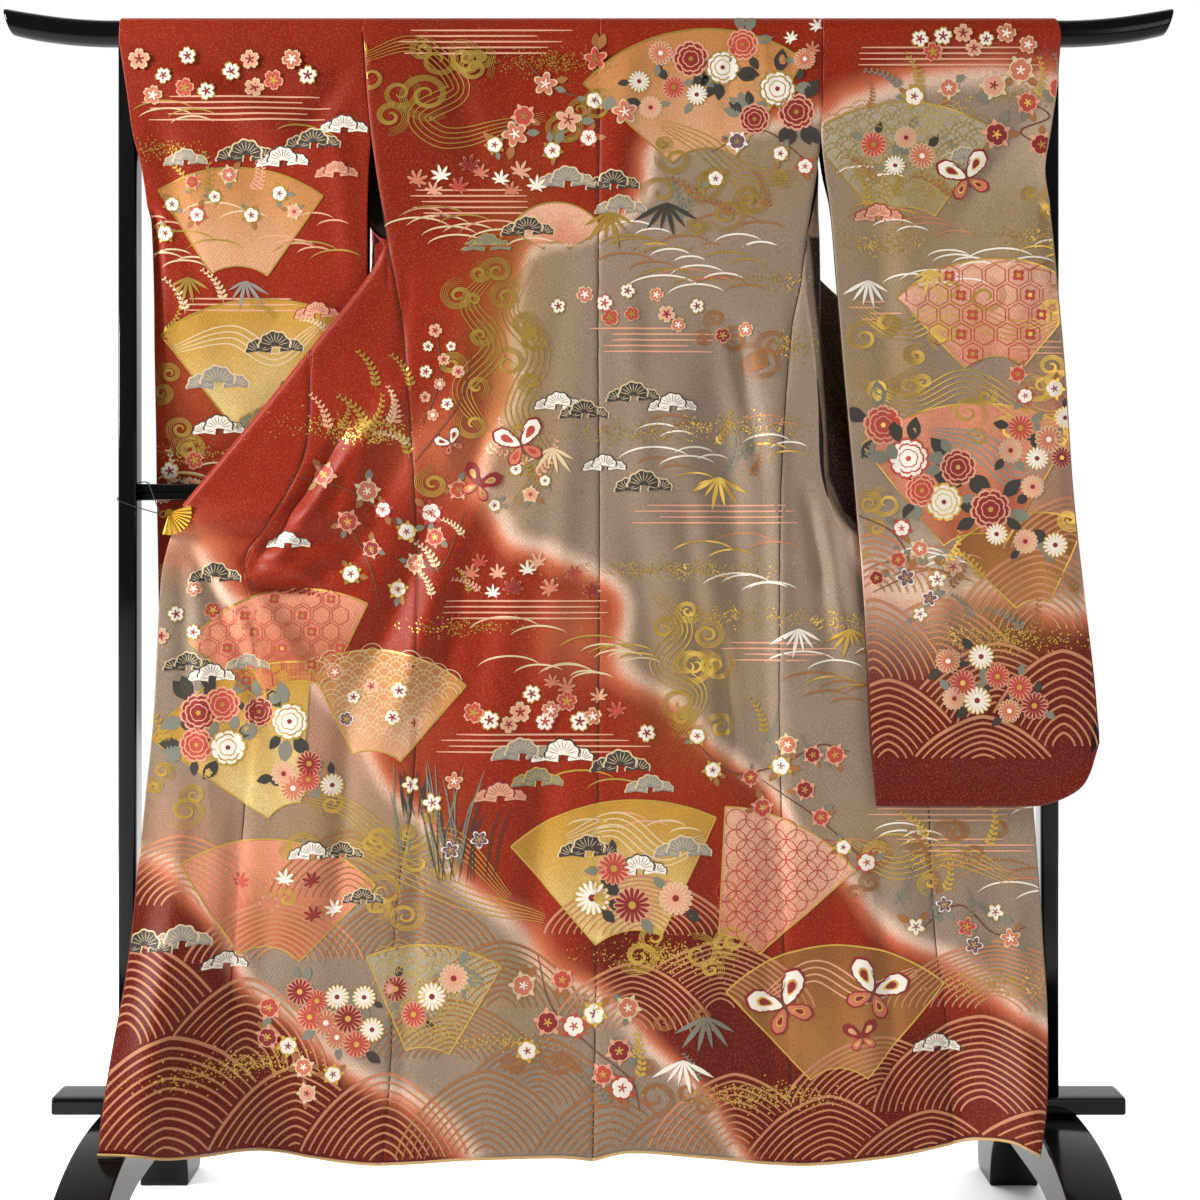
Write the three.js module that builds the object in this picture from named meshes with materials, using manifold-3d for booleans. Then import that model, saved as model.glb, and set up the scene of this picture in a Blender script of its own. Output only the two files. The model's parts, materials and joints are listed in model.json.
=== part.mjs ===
// Furisode kimono hung by its shoulders over the top rail of a lacquered kimono stand.
// Millimetres, +Z up, origin on the floor under the middle of the stand. The back of the
// kimono faces -Y. Left and right are those seen from -Y.

import * as THREE from 'three';
import Module from 'manifold-3d';
import { mergeVertices } from 'three/addons/utils/BufferGeometryUtils.js';

const wasm = await Module();
wasm.setup();

// ---- Driving dimensions ----------------------------------------------------------------

const CLOTH = { wall: 1.6, seamGap: 0.3 };
const RAIL = { halfLength: 812, halfSize: 18, height: 1681, straight: 660, lift: 17, endRound: 4,
  endSlant: 0.28, squareness: 0.85 };
const POST = { x: 642, width: 26, depth: 36 };
const MID_RAIL = { height: 1039.5, size: 23, depth: 26 };
const BEAM = { halfLength: 743, depth: 70, bottom: 175.3, top: 201 };
const FOOT = { halfSpan: 300, width: 72, top: 175, drop: 72, archHalf: 205, archHeight: 104,
  nose: 34, bevel: 3 };
const FITTED = 0.3;                       // space left where two pieces meet
const RAIL_CLEAR = 2.4;                   // from the rail's face to the middle of the cloth
const COLLAR = { neckX: 13, halfWidth: 106, base: 1560, rise: 108, width: 45, wall: 2.4,
  square: 0.7 };
const HEM_ROLL = { height: 4, depth: 3.4, sides: 8 };
const CLIP = { x: -578, z: 1010, radius: 31, from: 20, to: -108, ribs: 11, plate: 1.2, pleat: 1.4,
  grip: 4.2, back: 15, jaw: 24, knuckle: 5 };
const RING = { x: -586.4, z: 1008, radius: 4, wire: 0.9 };
const THREAD = { radius: 0.8, sides: 6, steps: 64 };

// Seams and edges. height is z and across is x, in rows from the top down.
const SEAMS = {
  centre: rows([1701, 16], [1234, 13], [1022, 15], [477, 12], [127, 6]),
  armholeLeft: rows([1701, -316], [1537, -302], [1383, -278]),
  armholeRight: rows([1701, 326], [1530, 322], [1395, 303]),
  sideLeft: rows([1383, -278], [1263, -257], [1129, -247], [1022, -240], [860, -237], [614, -243],
    [514, -259], [427, -267], [249, -272], [120, -282]),
  sideRight: rows([1395, 303], [1317, 292], [1270, 282], [1145, 271], [1022, 265], [751, 264],
    [574, 267], [411, 269], [332, 275], [120, 281]),
  frontLeft: rows([1236, -386], [1100, -391], [1018, -428], [945, -476], [905, -464], [806, -459],
    [706, -464], [551, -479], [315, -494], [145, -507]),
  frontRight: rows([950, 440], [780, 455], [608, 468], [415, 478], [332, 490], [228, 496], [150, 499]),
  edgeLeft: rows([1020, -562], [975, -577], [927, -589], [813, -596], [754, -598], [676, -605],
    [643, -609], [556, -617], [514, -622], [361, -628], [301, -633], [168, -642]),
  edgeRight: rows([1000, 590], [800, 602], [608, 613], [457, 623], [355, 626], [245, 616],
    [191, 607], [157, 600]),
};

// The hem, from left to right: across is x, height is z.
const HEM = [[-642, 168], [-606, 168], [-560, 157], [-507, 146], [-420, 138], [-351, 126],
  [-282, 120], [-169, 127], [-32, 130], [6, 126], [50, 137], [165, 130], [281, 120], [404, 130],
  [495, 148], [562, 168], [600, 157]].map(([across, height]) => ({ across, height }));

// The upper edge of each spread front, where its cloth turns over, from the armpit outwards.
const TURN_LEFT = [[-278, 1383], [-309, 1333], [-386, 1236], [-477, 1123], [-562, 1020]];
const TURN_RIGHT = [[303, 1395], [308, 1327], [321, 1212], [327, 1060], [345, 1015], [376, 979],
  [440, 950], [510, 962], [590, 1000]];

// How far the cloth hangs from the stand's middle plane: height is z, across is y.
const HANG = {
  near: rows([1681, -20.4], [1663, -21.5], [1390, -28], [1040, -34], [600, -42], [300, -51],
    [110, -62]),
  farLeft: rows([1681, 20.4], [1663, 21.5], [1537, 21.5], [1430, 0], [1383, -14], [1236, -17],
    [1020, -18]),
  farRight: rows([1681, 20.4], [1663, 21.5], [1537, 21.5], [1450, 4], [1395, -11], [1300, -13],
    [1047, -18], [945, -20]),
};

// Where the hem's outer corners rest forward, clear of the feet.
const LEANS = [
  { side: -1, inner: 440, outer: 600, top: 520, bottom: 165, forward: 112 },
  { side: 1, inner: 499, outer: 600, top: 430, bottom: 150, forward: 80 },
];

// Soft folds of the spread cloth. Each runs from one point to another; push is +Y, into the
// cloth, or -Y, a ridge towards the front; width is the distance at which it has died away.
const FOLDS = [
  { from: [176, 1240], to: [240, 560], width: 34, push: 9 },
  { from: [226, 1180], to: [262, 700], width: 24, push: -5 },
  { from: [-60, 1250], to: [-150, 620], width: 46, push: -6 },
  { from: [-130, 1230], to: [-215, 700], width: 30, push: 5 },
  { from: [-560, 1000], to: [-290, 1010], width: 26, push: -7 },
  { from: [-560, 985], to: [-330, 880], width: 26, push: 6 },
  { from: [-560, 970], to: [-380, 780], width: 30, push: -6 },
  { from: [-470, 930], to: [-345, 965], width: 28, push: -4 },
  { from: [352, 1000], to: [366, 860], width: 26, push: -8 },
  { from: [318, 980], to: [340, 760], width: 24, push: 5 },
  { from: [-380, 420], to: [-395, 140], width: 60, push: -5 },
  { from: [-555, 480], to: [-575, 190], width: 45, push: -5 },
  { from: [-120, 420], to: [-130, 130], width: 70, push: -5 },
  { from: [150, 430], to: [150, 130], width: 70, push: -5 },
  { from: [385, 440], to: [390, 150], width: 55, push: -5 },
];

// Sleeves. Rows from the top down: height is z, inner and outer are x, near and far are y.
const SLEEVE_LEFT = sleeveRows(
  [1663, -315.6, -652, -21.5, 21.5], [1600, -308, -642, -21.5, 21.5], [1537, -302.4, -633, -21.5, 21.5],
  [1493, -305, -622, -20, 22], [1430, -308, -614, -14, 23], [1333, -309, -611, -4, 24],
  [1236, -309, -611, 4, 25], [1120, -308, -610, 13, 26], [1051, -307, -610, 18, 27],
  [940, -306, -608, 19, 27], [800, -304, -606, 19, 27], [640, -302, -604, 18, 26]);
const SLEEVE_RIGHT = sleeveRows(
  [1663, 326.6, 656, -21.5, 21.5], [1600, 325, 651, -21.8, 21.5], [1537, 323, 641, -24, 21.5],
  [1484, 327, 632, -30, 3], [1430, 334, 638, -36, -26], [1340, 341, 646, -42, -33],
  [1200, 352, 657, -47, -39], [1040, 366, 667, -50, -42], [900, 377, 681, -53, -45],
  [800, 382, 692, -56, -48], [700, 386, 700, -59, -51], [612, 394, 702, -60, -52]);
const CUFF_RIGHT = rows([1663, 640], [1600, 623], [1540, 616], [1484, 620], [1455, 632], [1430, 638]);
const CUFF_RIGHT_BACK = rows([1663, 21.5], [1590, 22], [1540, 1], [1484, -23], [1430, -27]);
const SLEEVE_BOTTOM = { left: 636, right: 612, corner: 85 };

// ---- Tables and curves -----------------------------------------------------------------

function rows(...list) {
  return list.map(([height, across]) => ({ height, across }));
}

function sleeveRows(...list) {
  return list.map(([height, inner, outer, near, far]) => ({ height, inner, outer, near, far }));
}

const smooth = (t) => { const c = Math.min(1, Math.max(0, t)); return c * c * (3 - 2 * c); };
const mix = (a, b, t) => a + (b - a) * t;
const mixPoint = (a, b, t) => a.map((value, i) => mix(value, b[i], t));

// A smooth reading of a table: a cubic through the rows whose slope at each row is the mean of
// the slopes beside it.
function read(table, key, column, at) {
  const sign = table[0][key] < table[table.length - 1][key] ? 1 : -1;
  const x = table.map((row) => row[key] * sign);
  const y = table.map((row) => row[column]);
  const p = Math.min(x[x.length - 1], Math.max(x[0], at * sign));
  let i = 0;
  while (i < x.length - 2 && p > x[i + 1]) i += 1;
  const slope = (k) => {
    const a = Math.max(0, k - 1);
    const b = Math.min(x.length - 1, k + 1);
    return (y[b] - y[a]) / (x[b] - x[a]);
  };
  const w = x[i + 1] - x[i];
  const t = (p - x[i]) / w;
  const t2 = t * t;
  const t3 = t2 * t;
  return y[i] * (2 * t3 - 3 * t2 + 1) + slope(i) * w * (t3 - 2 * t2 + t)
    + y[i + 1] * (3 * t2 - 2 * t3) + slope(i + 1) * w * (t3 - t2);
}

const across = (table, height) => read(table, 'height', 'across', height);
const hemAt = (x) => read(HEM, 'across', 'height', x);

// A point at part t of the way along a list of points, by length, rounded as a spline.
function alongPoints(points, t) {
  const flat = points.map(([x, z]) => new THREE.Vector3(x, 0, z));
  const p = new THREE.CatmullRomCurve3(flat, false, 'centripetal').getPointAt(t);
  return [p.x, p.z];
}

function bezier(p, t) {
  const s = 1 - t;
  const k = [s * s * s, 3 * s * s * t, 3 * s * t * t, t * t * t];
  return [0, 1].map((i) => k[0] * p[0][i] + k[1] * p[1][i] + k[2] * p[2][i] + k[3] * p[3][i]);
}

// ---- Where the cloth hangs ---------------------------------------------------------------

function foldPush(x, z) {
  let push = 0;
  for (const { from, to, width, push: depth } of FOLDS) {
    const dx = to[0] - from[0];
    const dz = to[1] - from[1];
    const t = ((x - from[0]) * dx + (z - from[1]) * dz) / (dx * dx + dz * dz);
    const away = ((x - from[0]) * dz - (z - from[1]) * dx) / Math.hypot(dx, dz);
    const along = smooth((t + 0.15) / 0.4) * smooth((1.15 - t) / 0.4);
    push += depth * along * Math.exp(-((away / width) ** 2) * 2);
  }
  return push;
}

// The visible layer of the body of the kimono: y at x, z.
function nearDepth(x, z) {
  let y = across(HANG.near, z) + foldPush(x, z);
  for (const { side, inner, outer, top, bottom, forward } of LEANS) {
    const out = smooth((x * side - inner) / (outer - inner));
    y -= forward * out * smooth((top - z) / (top - bottom) );
  }
  return y;
}

// Over the rail: turn is the angle from +Y, over the top, in degrees.
function overRail(x, turn) {
  const r = RAIL.halfSize + RAIL_CLEAR;
  const a = THREE.MathUtils.degToRad(turn);
  const squared = (c) => Math.sign(c) * Math.abs(c) ** RAIL.squareness;
  return [x, r * squared(Math.cos(a)), RAIL.height + r * squared(Math.sin(a))];
}

// ---- Meshes --------------------------------------------------------------------------------

// A wall of even thickness on a grid of middle points. grid[j][i] is [x, y, z]; a loop joins
// the last row to the first.
//
// before and after are the next columns of the neighbouring pieces, counted from the last row
// up, so that both pieces of a seam slope alike.
function wallOn(grid, { wall = CLOTH.wall, loop = false, before = [], after = [] } = {}) {
  const nv = grid.length;
  const nu = grid[0].length;
  const at = (j, i) => {
    const row = loop ? (j + nv) % nv : Math.min(nv - 1, Math.max(0, j));
    const beside = i < 0 ? before : i >= nu ? after : [];
    const own = grid[row][Math.min(nu - 1, Math.max(0, i))];
    return new THREE.Vector3(...(beside[row - nv + beside.length] ?? own));
  };
  const positions = [];
  for (const side of [0.5, -0.5]) {
    for (let j = 0; j < nv; j += 1) {
      for (let i = 0; i < nu; i += 1) {
        const u = at(j, i + 1).sub(at(j, i - 1));
        const v = at(j + 1, i).sub(at(j - 1, i));
        const p = at(j, i).addScaledVector(u.cross(v).normalize(), wall * side);
        positions.push(p.x, p.y, p.z);
      }
    }
  }
  const id = (side, j, i) => (side * nv + (loop ? j % nv : j)) * nu + i;
  const index = [];
  const quad = (a, b, c, d) => index.push(a, b, c, a, c, d);
  const bands = loop ? nv : nv - 1;
  for (let j = 0; j < bands; j += 1) {
    for (let i = 0; i < nu - 1; i += 1) {
      quad(id(0, j, i), id(0, j, i + 1), id(0, j + 1, i + 1), id(0, j + 1, i));
      quad(id(1, j, i), id(1, j + 1, i), id(1, j + 1, i + 1), id(1, j, i + 1));
    }
    quad(id(0, j, 0), id(0, j + 1, 0), id(1, j + 1, 0), id(1, j, 0));
    quad(id(0, j, nu - 1), id(1, j, nu - 1), id(1, j + 1, nu - 1), id(0, j + 1, nu - 1));
  }
  if (!loop) {
    for (let i = 0; i < nu - 1; i += 1) {
      quad(id(0, 0, i), id(1, 0, i), id(1, 0, i + 1), id(0, 0, i + 1));
      quad(id(0, nv - 1, i), id(0, nv - 1, i + 1), id(1, nv - 1, i + 1), id(1, nv - 1, i));
    }
  }
  return outward(positions, index);
}

// A solid through rings of points, closed by flat caps.
function throughRings(rings) {
  const n = rings[0].length;
  const positions = rings.flat(2);
  const index = [];
  for (let j = 0; j < rings.length - 1; j += 1) {
    for (let i = 0; i < n; i += 1) {
      const [a, b] = [j * n + i, j * n + ((i + 1) % n)];
      index.push(a, b, b + n, a, b + n, a + n);
    }
  }
  const last = (rings.length - 1) * n;
  for (let i = 1; i < n - 1; i += 1) {
    index.push(0, i + 1, i, last, last + i, last + i + 1);
  }
  return outward(positions, index);
}

// Turns every face outwards, by the sign of the volume.
function outward(positions, index) {
  let volume = 0;
  for (let k = 0; k < index.length; k += 3) {
    const [a, b, c] = [0, 1, 2].map((s) => new THREE.Vector3().fromArray(positions, index[k + s] * 3));
    volume += a.dot(b.cross(c));
  }
  if (volume < 0) {
    for (let k = 0; k < index.length; k += 3) [index[k], index[k + 1]] = [index[k + 1], index[k]];
  }
  const geometry = new THREE.BufferGeometry();
  geometry.setAttribute('position', new THREE.Float32BufferAttribute(positions, 3));
  geometry.setIndex(index);
  return geometry;
}

function toSolid(geometry) {
  geometry.deleteAttribute('normal');
  geometry.deleteAttribute('uv');
  const merged = mergeVertices(geometry, 1e-4);
  return new wasm.Manifold(new wasm.Mesh({
    numProp: 3,
    vertProperties: new Float32Array(merged.attributes.position.array),
    triVerts: new Uint32Array(merged.index.array),
  }));
}

function fromSolid(solid) {
  const { vertProperties, triVerts } = solid.getMesh();
  const geometry = new THREE.BufferGeometry();
  geometry.setAttribute('position', new THREE.Float32BufferAttribute(vertProperties, 3));
  geometry.setIndex(Array.from(triVerts));
  return geometry;
}

const part = new THREE.Group();

const FINISH = {
  silkRed: { color: 0xa83220, roughness: 0.55 },
  silkGrey: { color: 0xa8957c, roughness: 0.55 },
  lining: { color: 0x6b4634, roughness: 0.6 },
  gold: { color: 0xc9a24a, roughness: 0.35, metalness: 0.9 },
  lacquer: { color: 0x0b0d10, roughness: 0.12 },
  thread: { color: 0x1c1820, roughness: 0.7 },
};

function place(name, geometry, finish) {
  geometry.computeVertexNormals();
  const mesh = new THREE.Mesh(geometry, new THREE.MeshStandardMaterial(FINISH[finish]));
  mesh.name = name;
  part.add(mesh);
}

// ---- Body panels -----------------------------------------------------------------------------

const FALL = [0.05, 0.1, 0.16, 0.22, 0.28, 0.34, 0.4, 0.46, 0.53, 0.6, 0.68, 0.76, 0.84, 0.91,
  0.96, 1];                               // rows below the armpit, as parts of the way to the hem

// Columns of points, side by side, as a wall; its first and last columns are drawn in from the
// seams where the neighbouring panels begin, the first rows of a twisted one by more.
function panel(columns, { twisted = { rows: 0, apart: 0 }, before, after } = {}) {
  const drawnIn = (column, beside) => column.map((p, j) => {
    const away = new THREE.Vector3(...beside[j]).sub(new THREE.Vector3(...p));
    const by = j < twisted.rows ? twisted.apart : CLOTH.seamGap * 0.6;
    return p.map((value, k) => value + (away.getComponent(k) / away.length()) * by);
  });
  const n = columns.length;
  const all = [drawnIn(columns[0], columns[1]), ...columns.slice(1, n - 1),
    drawnIn(columns[n - 1], columns[n - 2])];
  return wallOn(all[0].map((_, j) => all.map((column) => column[j])), { before, after });
}

// A point of a seam at part w of its way from its top to the hem.
function seamPoint(table, w) {
  const end = hemAt(table[table.length - 1].across);
  const z = mix(table[0].height, end, w);
  return [across(table, z), z];
}

// The near layer between two seams: s from one to the other, w down to the hem. off is how far
// the turned upper edge lies from the straight line between the tops of the seams.
function nearPoint(seamA, seamB, s, w, off = [0, 0]) {
  const xHem = mix(seamPoint(seamA, 1)[0], seamPoint(seamB, 1)[0], s);
  const [x0, z0] = mixPoint(seamPoint(seamA, w), seamPoint(seamB, w), s);
  const lift = hemAt(xHem) - mix(seamPoint(seamA, 1)[1], seamPoint(seamB, 1)[1], s);
  const x = x0 + off[0] * (1 - w) ** 2;
  const z = z0 + off[1] * (1 - w) ** 2 + lift * smooth((w - 0.6) / 0.4);
  return [x, nearDepth(x, z), z];
}

// The neckline on the far side, as a squared arch: its height at x.
function necklineAt(x) {
  const out = Math.min(1, Math.abs(x - COLLAR.neckX) / COLLAR.halfWidth);
  const power = 2 / COLLAR.square;
  return COLLAR.base + COLLAR.rise * (1 - out ** power) ** (1 / power);
}

// The columns of a back panel beside the neck, as parts of its width at the shoulder.
const NECK_PARTS = [0, 0.1, 0.18, 0.245, 0.285, 0.308];
const neckPoint = (x, above) => [x, across(HANG.farLeft, 1640), necklineAt(x) + above];
const SHOULDER = 1662;                    // behind the rail, where the back ends and the front begins

// A back panel: over the rail from the shoulder line behind it, down to the armpit, then down its
// side seam to the hem. Beside the neck it hangs behind the rail as far as the neckline.
function backColumns(armhole, sideSeam) {
  const parts = [...NECK_PARTS, 0.318, 0.48, 0.65, 0.83, 1];
  const armpit = sideSeam[0].height;
  const centre = SEAMS.centre.map((row, i) => (i === 0 ? { height: armpit, across:
    across(SEAMS.centre, armpit) } : row));
  return parts.map((u, i) => {
    const xRail = mix(across(SEAMS.centre, RAIL.height), across(armhole, RAIL.height), u);
    const xShoulder = mix(across(SEAMS.centre, SHOULDER), across(armhole, SHOULDER), u);
    const column = [i < NECK_PARTS.length ? neckPoint(xRail, 0.8)
      : [xShoulder, across(HANG.farLeft, SHOULDER), SHOULDER + FITTED]];
    for (let k = 0; k < 6; k += 1) {
      column.push(overRail(xRail, k * 36));
    }
    for (const z of [1663, 1600, 1540, 1485, 1435]) {
      const x = mix(across(SEAMS.centre, z), across(armhole, z), u);
      column.push([x, nearDepth(x, z), z]);
    }
    return [...column, ...[0, ...FALL].map((w) => nearPoint(centre, sideSeam, u, w))];
  });
}

// The collar's lines on the far side: from the side of the neck to its lower end.
const COLLAR_LINE = {
  left: [[-93.3, 1560], [-170, 1400], [-330, 1180], [-552, 1002]],
  right: [[119.3, 1560], [210, 1500], [420, 1260], [585, 1010]],
};
const AFTER_ROWS = 7;                     // rows from the top of the okumi to the turned edge
const FRONT_TOP = 0.38;                   // part of the collar line that the front panel meets

// A front panel hangs behind the back from the shoulder, turns over its upper edge and shows
// its outer face beside the side seam.
const FRONTS = {
  left: {
    side: -1, armhole: SEAMS.armholeLeft, sideSeam: SEAMS.sideLeft, seam: SEAMS.frontLeft,
    edge: SEAMS.edgeLeft, ridge: TURN_LEFT, split: 0.396,
    line: COLLAR_LINE.left, neckX: -90, openEdge: [[-302, 1537], [-303.5, 1440], [-281, 1391]],
    bend: [-296, 1306], far: HANG.farLeft, bulge: 0, tuck: false, twisted: { rows: 0, apart: 0 },
  },
  right: {
    side: 1, armhole: SEAMS.armholeRight, sideSeam: SEAMS.sideRight, seam: SEAMS.frontRight,
    edge: SEAMS.edgeRight, ridge: TURN_RIGHT, split: 0.758,
    line: COLLAR_LINE.right, neckX: 116, openEdge: [[322, 1537], [322, 1470], [306, 1403]],
    bend: [322, 1262], far: HANG.farRight, bulge: 62, tuck: true, twisted: { rows: AFTER_ROWS - 1, apart: 2.4 },
  },
};

// How the cloth turns over an edge: out is outwards along the cloth, y is from the near layer.
const TURNED = {
  plain: [[-5, 8], [0, 4], [-5, 0]],
  tucked: [[-6, 15], [-16, 12.5], [-6, 8], [0, 4], [-5, 0]],
  armpit: [[20, 11], [13, 8], [7, 5], [0, 2.5], [-6, 0]],
};

function turnedRows(front, s) {
  const open = smooth(s / 0.25);
  const rolled = front.tuck ? TURNED.tucked : TURNED.plain;
  const flat = front.tuck ? TURNED.armpit : TURNED.armpit.slice(2);
  return rolled.map((row, k) => mixPoint(flat[k], row, open));
}

// The turned edge at part t of the ridge, with its rows from the far layer to the near one.
function turnedColumn(front, t, open) {
  const [ex, ez] = alongPoints(front.ridge, t);
  const a = alongPoints(front.ridge, Math.max(0, t - 0.02));
  const b = alongPoints(front.ridge, Math.min(1, t + 0.02));
  const square = new THREE.Vector2(front.side * (a[1] - b[1]), front.side * (b[0] - a[0])).normalize();
  const d = new THREE.Vector2(0, 1).lerp(square, smooth(open / 0.2)).normalize();
  return turnedRows(front, open).map(([out, y]) => {
    const [x, z] = [ex + d.x * out, ez + d.y * out];
    return [x, nearDepth(x, z) + y, z];
  });
}

const BEFORE = [0, 0.22, 0.45, 0.7, 0.9];   // rows from the shoulder to the top of the okumi
const AFTER = [0, 0.14, 0.28, 0.43, 0.58, 0.74, 0.9];   // rows from there to the turned edge
const OUTER_SPLIT = 0.55;                 // the part of the armhole edge beside the first rows

// How far the far layer of the twisted front stands back, at part t below the okumi's top.
const twistDepth = (front, t) => front.bulge * smooth(1 - t / 0.78);

function frontColumn(front, s) {
  const { armhole, sideSeam, seam, ridge, split, openEdge, neckX, line, bend } = front;
  const corner = bezier(line, FRONT_TOP);
  const outer = [[across(armhole, SHOULDER), SHOULDER], ...openEdge];
  const innerTop = [[neckX, SHOULDER], [mix(neckX, line[0][0], 0.5), 1600], line[0], corner];
  const innerLow = [corner, bend, alongPoints(ridge, split)];
  const turned = turnedColumn(front, s * split, s);
  const edge = alongPoints(ridge, s * split);
  const top = BEFORE.map((t) => {
    const [x, z] = mixPoint(alongPoints(outer, t * OUTER_SPLIT), alongPoints(innerTop, t), s);
    return [x, across(front.far, z) + front.bulge * s * smooth(t), z];
  });
  const lowEnd = mixPoint(alongPoints(outer, 1), alongPoints(innerLow, 1), s);
  const low = AFTER.map((t) => {
    const [x, z] = mixPoint(alongPoints(outer, mix(OUTER_SPLIT, 1, t)), alongPoints(innerLow, t), s)
      .map((value, i) => value + (edge[i] - lowEnd[i]) * smooth(t) ** 2);
    const y = across(front.far, z) + s * twistDepth(front, t);
    return [x, mix(y, turned[0][1], smooth((t - 0.6) / 0.4)), z];
  });
  return [...top, ...low, ...turned, ...nearColumn(sideSeam, seam, s, edge)];
}

// The near layer below the turned edge.
function nearColumn(seamA, seamB, s, edge) {
  const straight = mixPoint(seamPoint(seamA, 0), seamPoint(seamB, 0), s);
  const off = edge.map((value, i) => value - straight[i]);
  return FALL.map((w) => nearPoint(seamA, seamB, s, w, off));
}

// The okumi: a long wedge from the collar line, over the turned edge, to the hem's corner. It
// begins at the second row below the top of the seam.
const OKUMI_START = BEFORE.length + 1;
const OKUMI_STEP_BACK = 0.6;              // its far layer stands back of the front's by this part

function okumiColumn(front, s) {
  if (s === 0) return frontColumn(front, 1).slice(OKUMI_START);
  const { seam, edge, ridge, split, line, bend } = front;
  const innerLow = [bezier(line, FRONT_TOP), bend, alongPoints(ridge, split)];
  const ridgeAt = mix(split, 1, s);
  const turned = turnedColumn(front, ridgeAt, 1);
  const end = mixPoint(alongPoints(innerLow, 1), bezier(line, 1), s);
  const target = [turned[0][0], turned[0][2]];
  const low = AFTER.slice(1).map((t) => {
    const [x, z] = mixPoint(alongPoints(innerLow, t), bezier(line, mix(FRONT_TOP, 1, t)), s)
      .map((value, i) => value + (target[i] - end[i]) * smooth(t) ** 2);
    const y = across(front.far, z) + twistDepth(front, t) * (1 + OKUMI_STEP_BACK * s);
    return [x, mix(y, turned[0][1], smooth((t - 0.6) / 0.4)), z];
  });
  return [...low, ...turned, ...nearColumn(seam, edge, s, alongPoints(ridge, ridgeAt))];
}

const FRONT_PARTS = [0, 0.12, 0.26, 0.44, 0.63, 0.82, 1];
const OKUMI_PARTS = [0, 0.33, 0.67, 1];

// The collar: a folded band along the neckline and the inner edges of both fronts, down to the
// ends of the okumi. reach is the way it stands from the edge that it is sewn to.
const COLLAR_REACH = {
  left: { top: [1, 0.15, -0.1], corner: [0.9, 0.1, -0.4], end: [0.55, 0.05, -0.8] },
  right: { top: [-1, 0.15, -0.1], corner: [0.1, 0.9, -0.4], end: [0.75, 0.1, 0.66], apart: 1.5 },
};

function collarSide(front, reach) {
  const inner = frontColumn(front, 1).slice(1, OKUMI_START);
  const outer = okumiColumn(front, 1).slice(0, AFTER.length - 1);
  const path = [...inner, ...outer];
  return path.map((p, k) => {
    const t = k / (path.length - 1);
    const way = t < 0.4 ? mixPoint(reach.top, reach.corner, t / 0.4)
      : mixPoint(reach.corner, reach.end, (t - 0.4) / 0.6);
    return { p, way, apart: reach.apart };
  });
}

function collar() {
  const left = collarSide(FRONTS.left, COLLAR_REACH.left);
  const right = collarSide(FRONTS.right, COLLAR_REACH.right);
  const centre = across(SEAMS.centre, RAIL.height);
  const archSide = (armhole) => NECK_PARTS.map((part) => {
    const x = mix(centre, across(armhole, RAIL.height), part);
    const lean = ((x - COLLAR.neckX) / COLLAR.halfWidth) ** 3;
    return { p: neckPoint(x, 0), way: [-lean * 1.5, 0.1, -1 + Math.abs(lean)] };
  });
  const path = [...left.reverse(), ...archSide(SEAMS.armholeLeft).reverse(),
    ...archSide(SEAMS.armholeRight).slice(1), ...right];
  const columns = [0, 0.5, 1].map((part) => path.map(({ p, way, apart }) => {
    const d = new THREE.Vector3(...way).normalize();
    const out = part * COLLAR.width + (apart ?? CLOTH.seamGap);
    return [p[0] + d.x * out, p[1] + d.y * out, p[2] + d.z * out];
  }));
  return wallOn(columns, { wall: COLLAR.wall });
}

// The padded roll below the hem of a panel, from its first column to its last.
function hemRoll(columns) {
  const drop = HEM_ROLL.height / 2 + CLOTH.seamGap;
  const ends = columns.map((column) => column[column.length - 1]);
  const rings = ends.map(([x, y, z], i) => {
    const inner = i === 0 ? ends[1][0] - x : i === ends.length - 1 ? ends[i - 1][0] - x : 0;
    const gap = Math.sign(inner) * CLOTH.seamGap * 0.6;
    return Array.from({ length: HEM_ROLL.sides }, (_, k) => {
      const a = (Math.PI * 2 * k) / HEM_ROLL.sides;
      return [x + gap, y + (HEM_ROLL.depth / 2) * Math.cos(a),
        z - drop + (HEM_ROLL.height / 2) * Math.sin(a)];
    });
  });
  return throughRings(rings);
}

// ---- Sleeves -----------------------------------------------------------------------------------

const SLEEVE_PARTS = [0, 0.12, 0.32, 0.52, 0.7, 0.84, 0.93, 1];
const SLEEVE_CLOSE = 0.93;                // from here outwards the two layers come together

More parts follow.
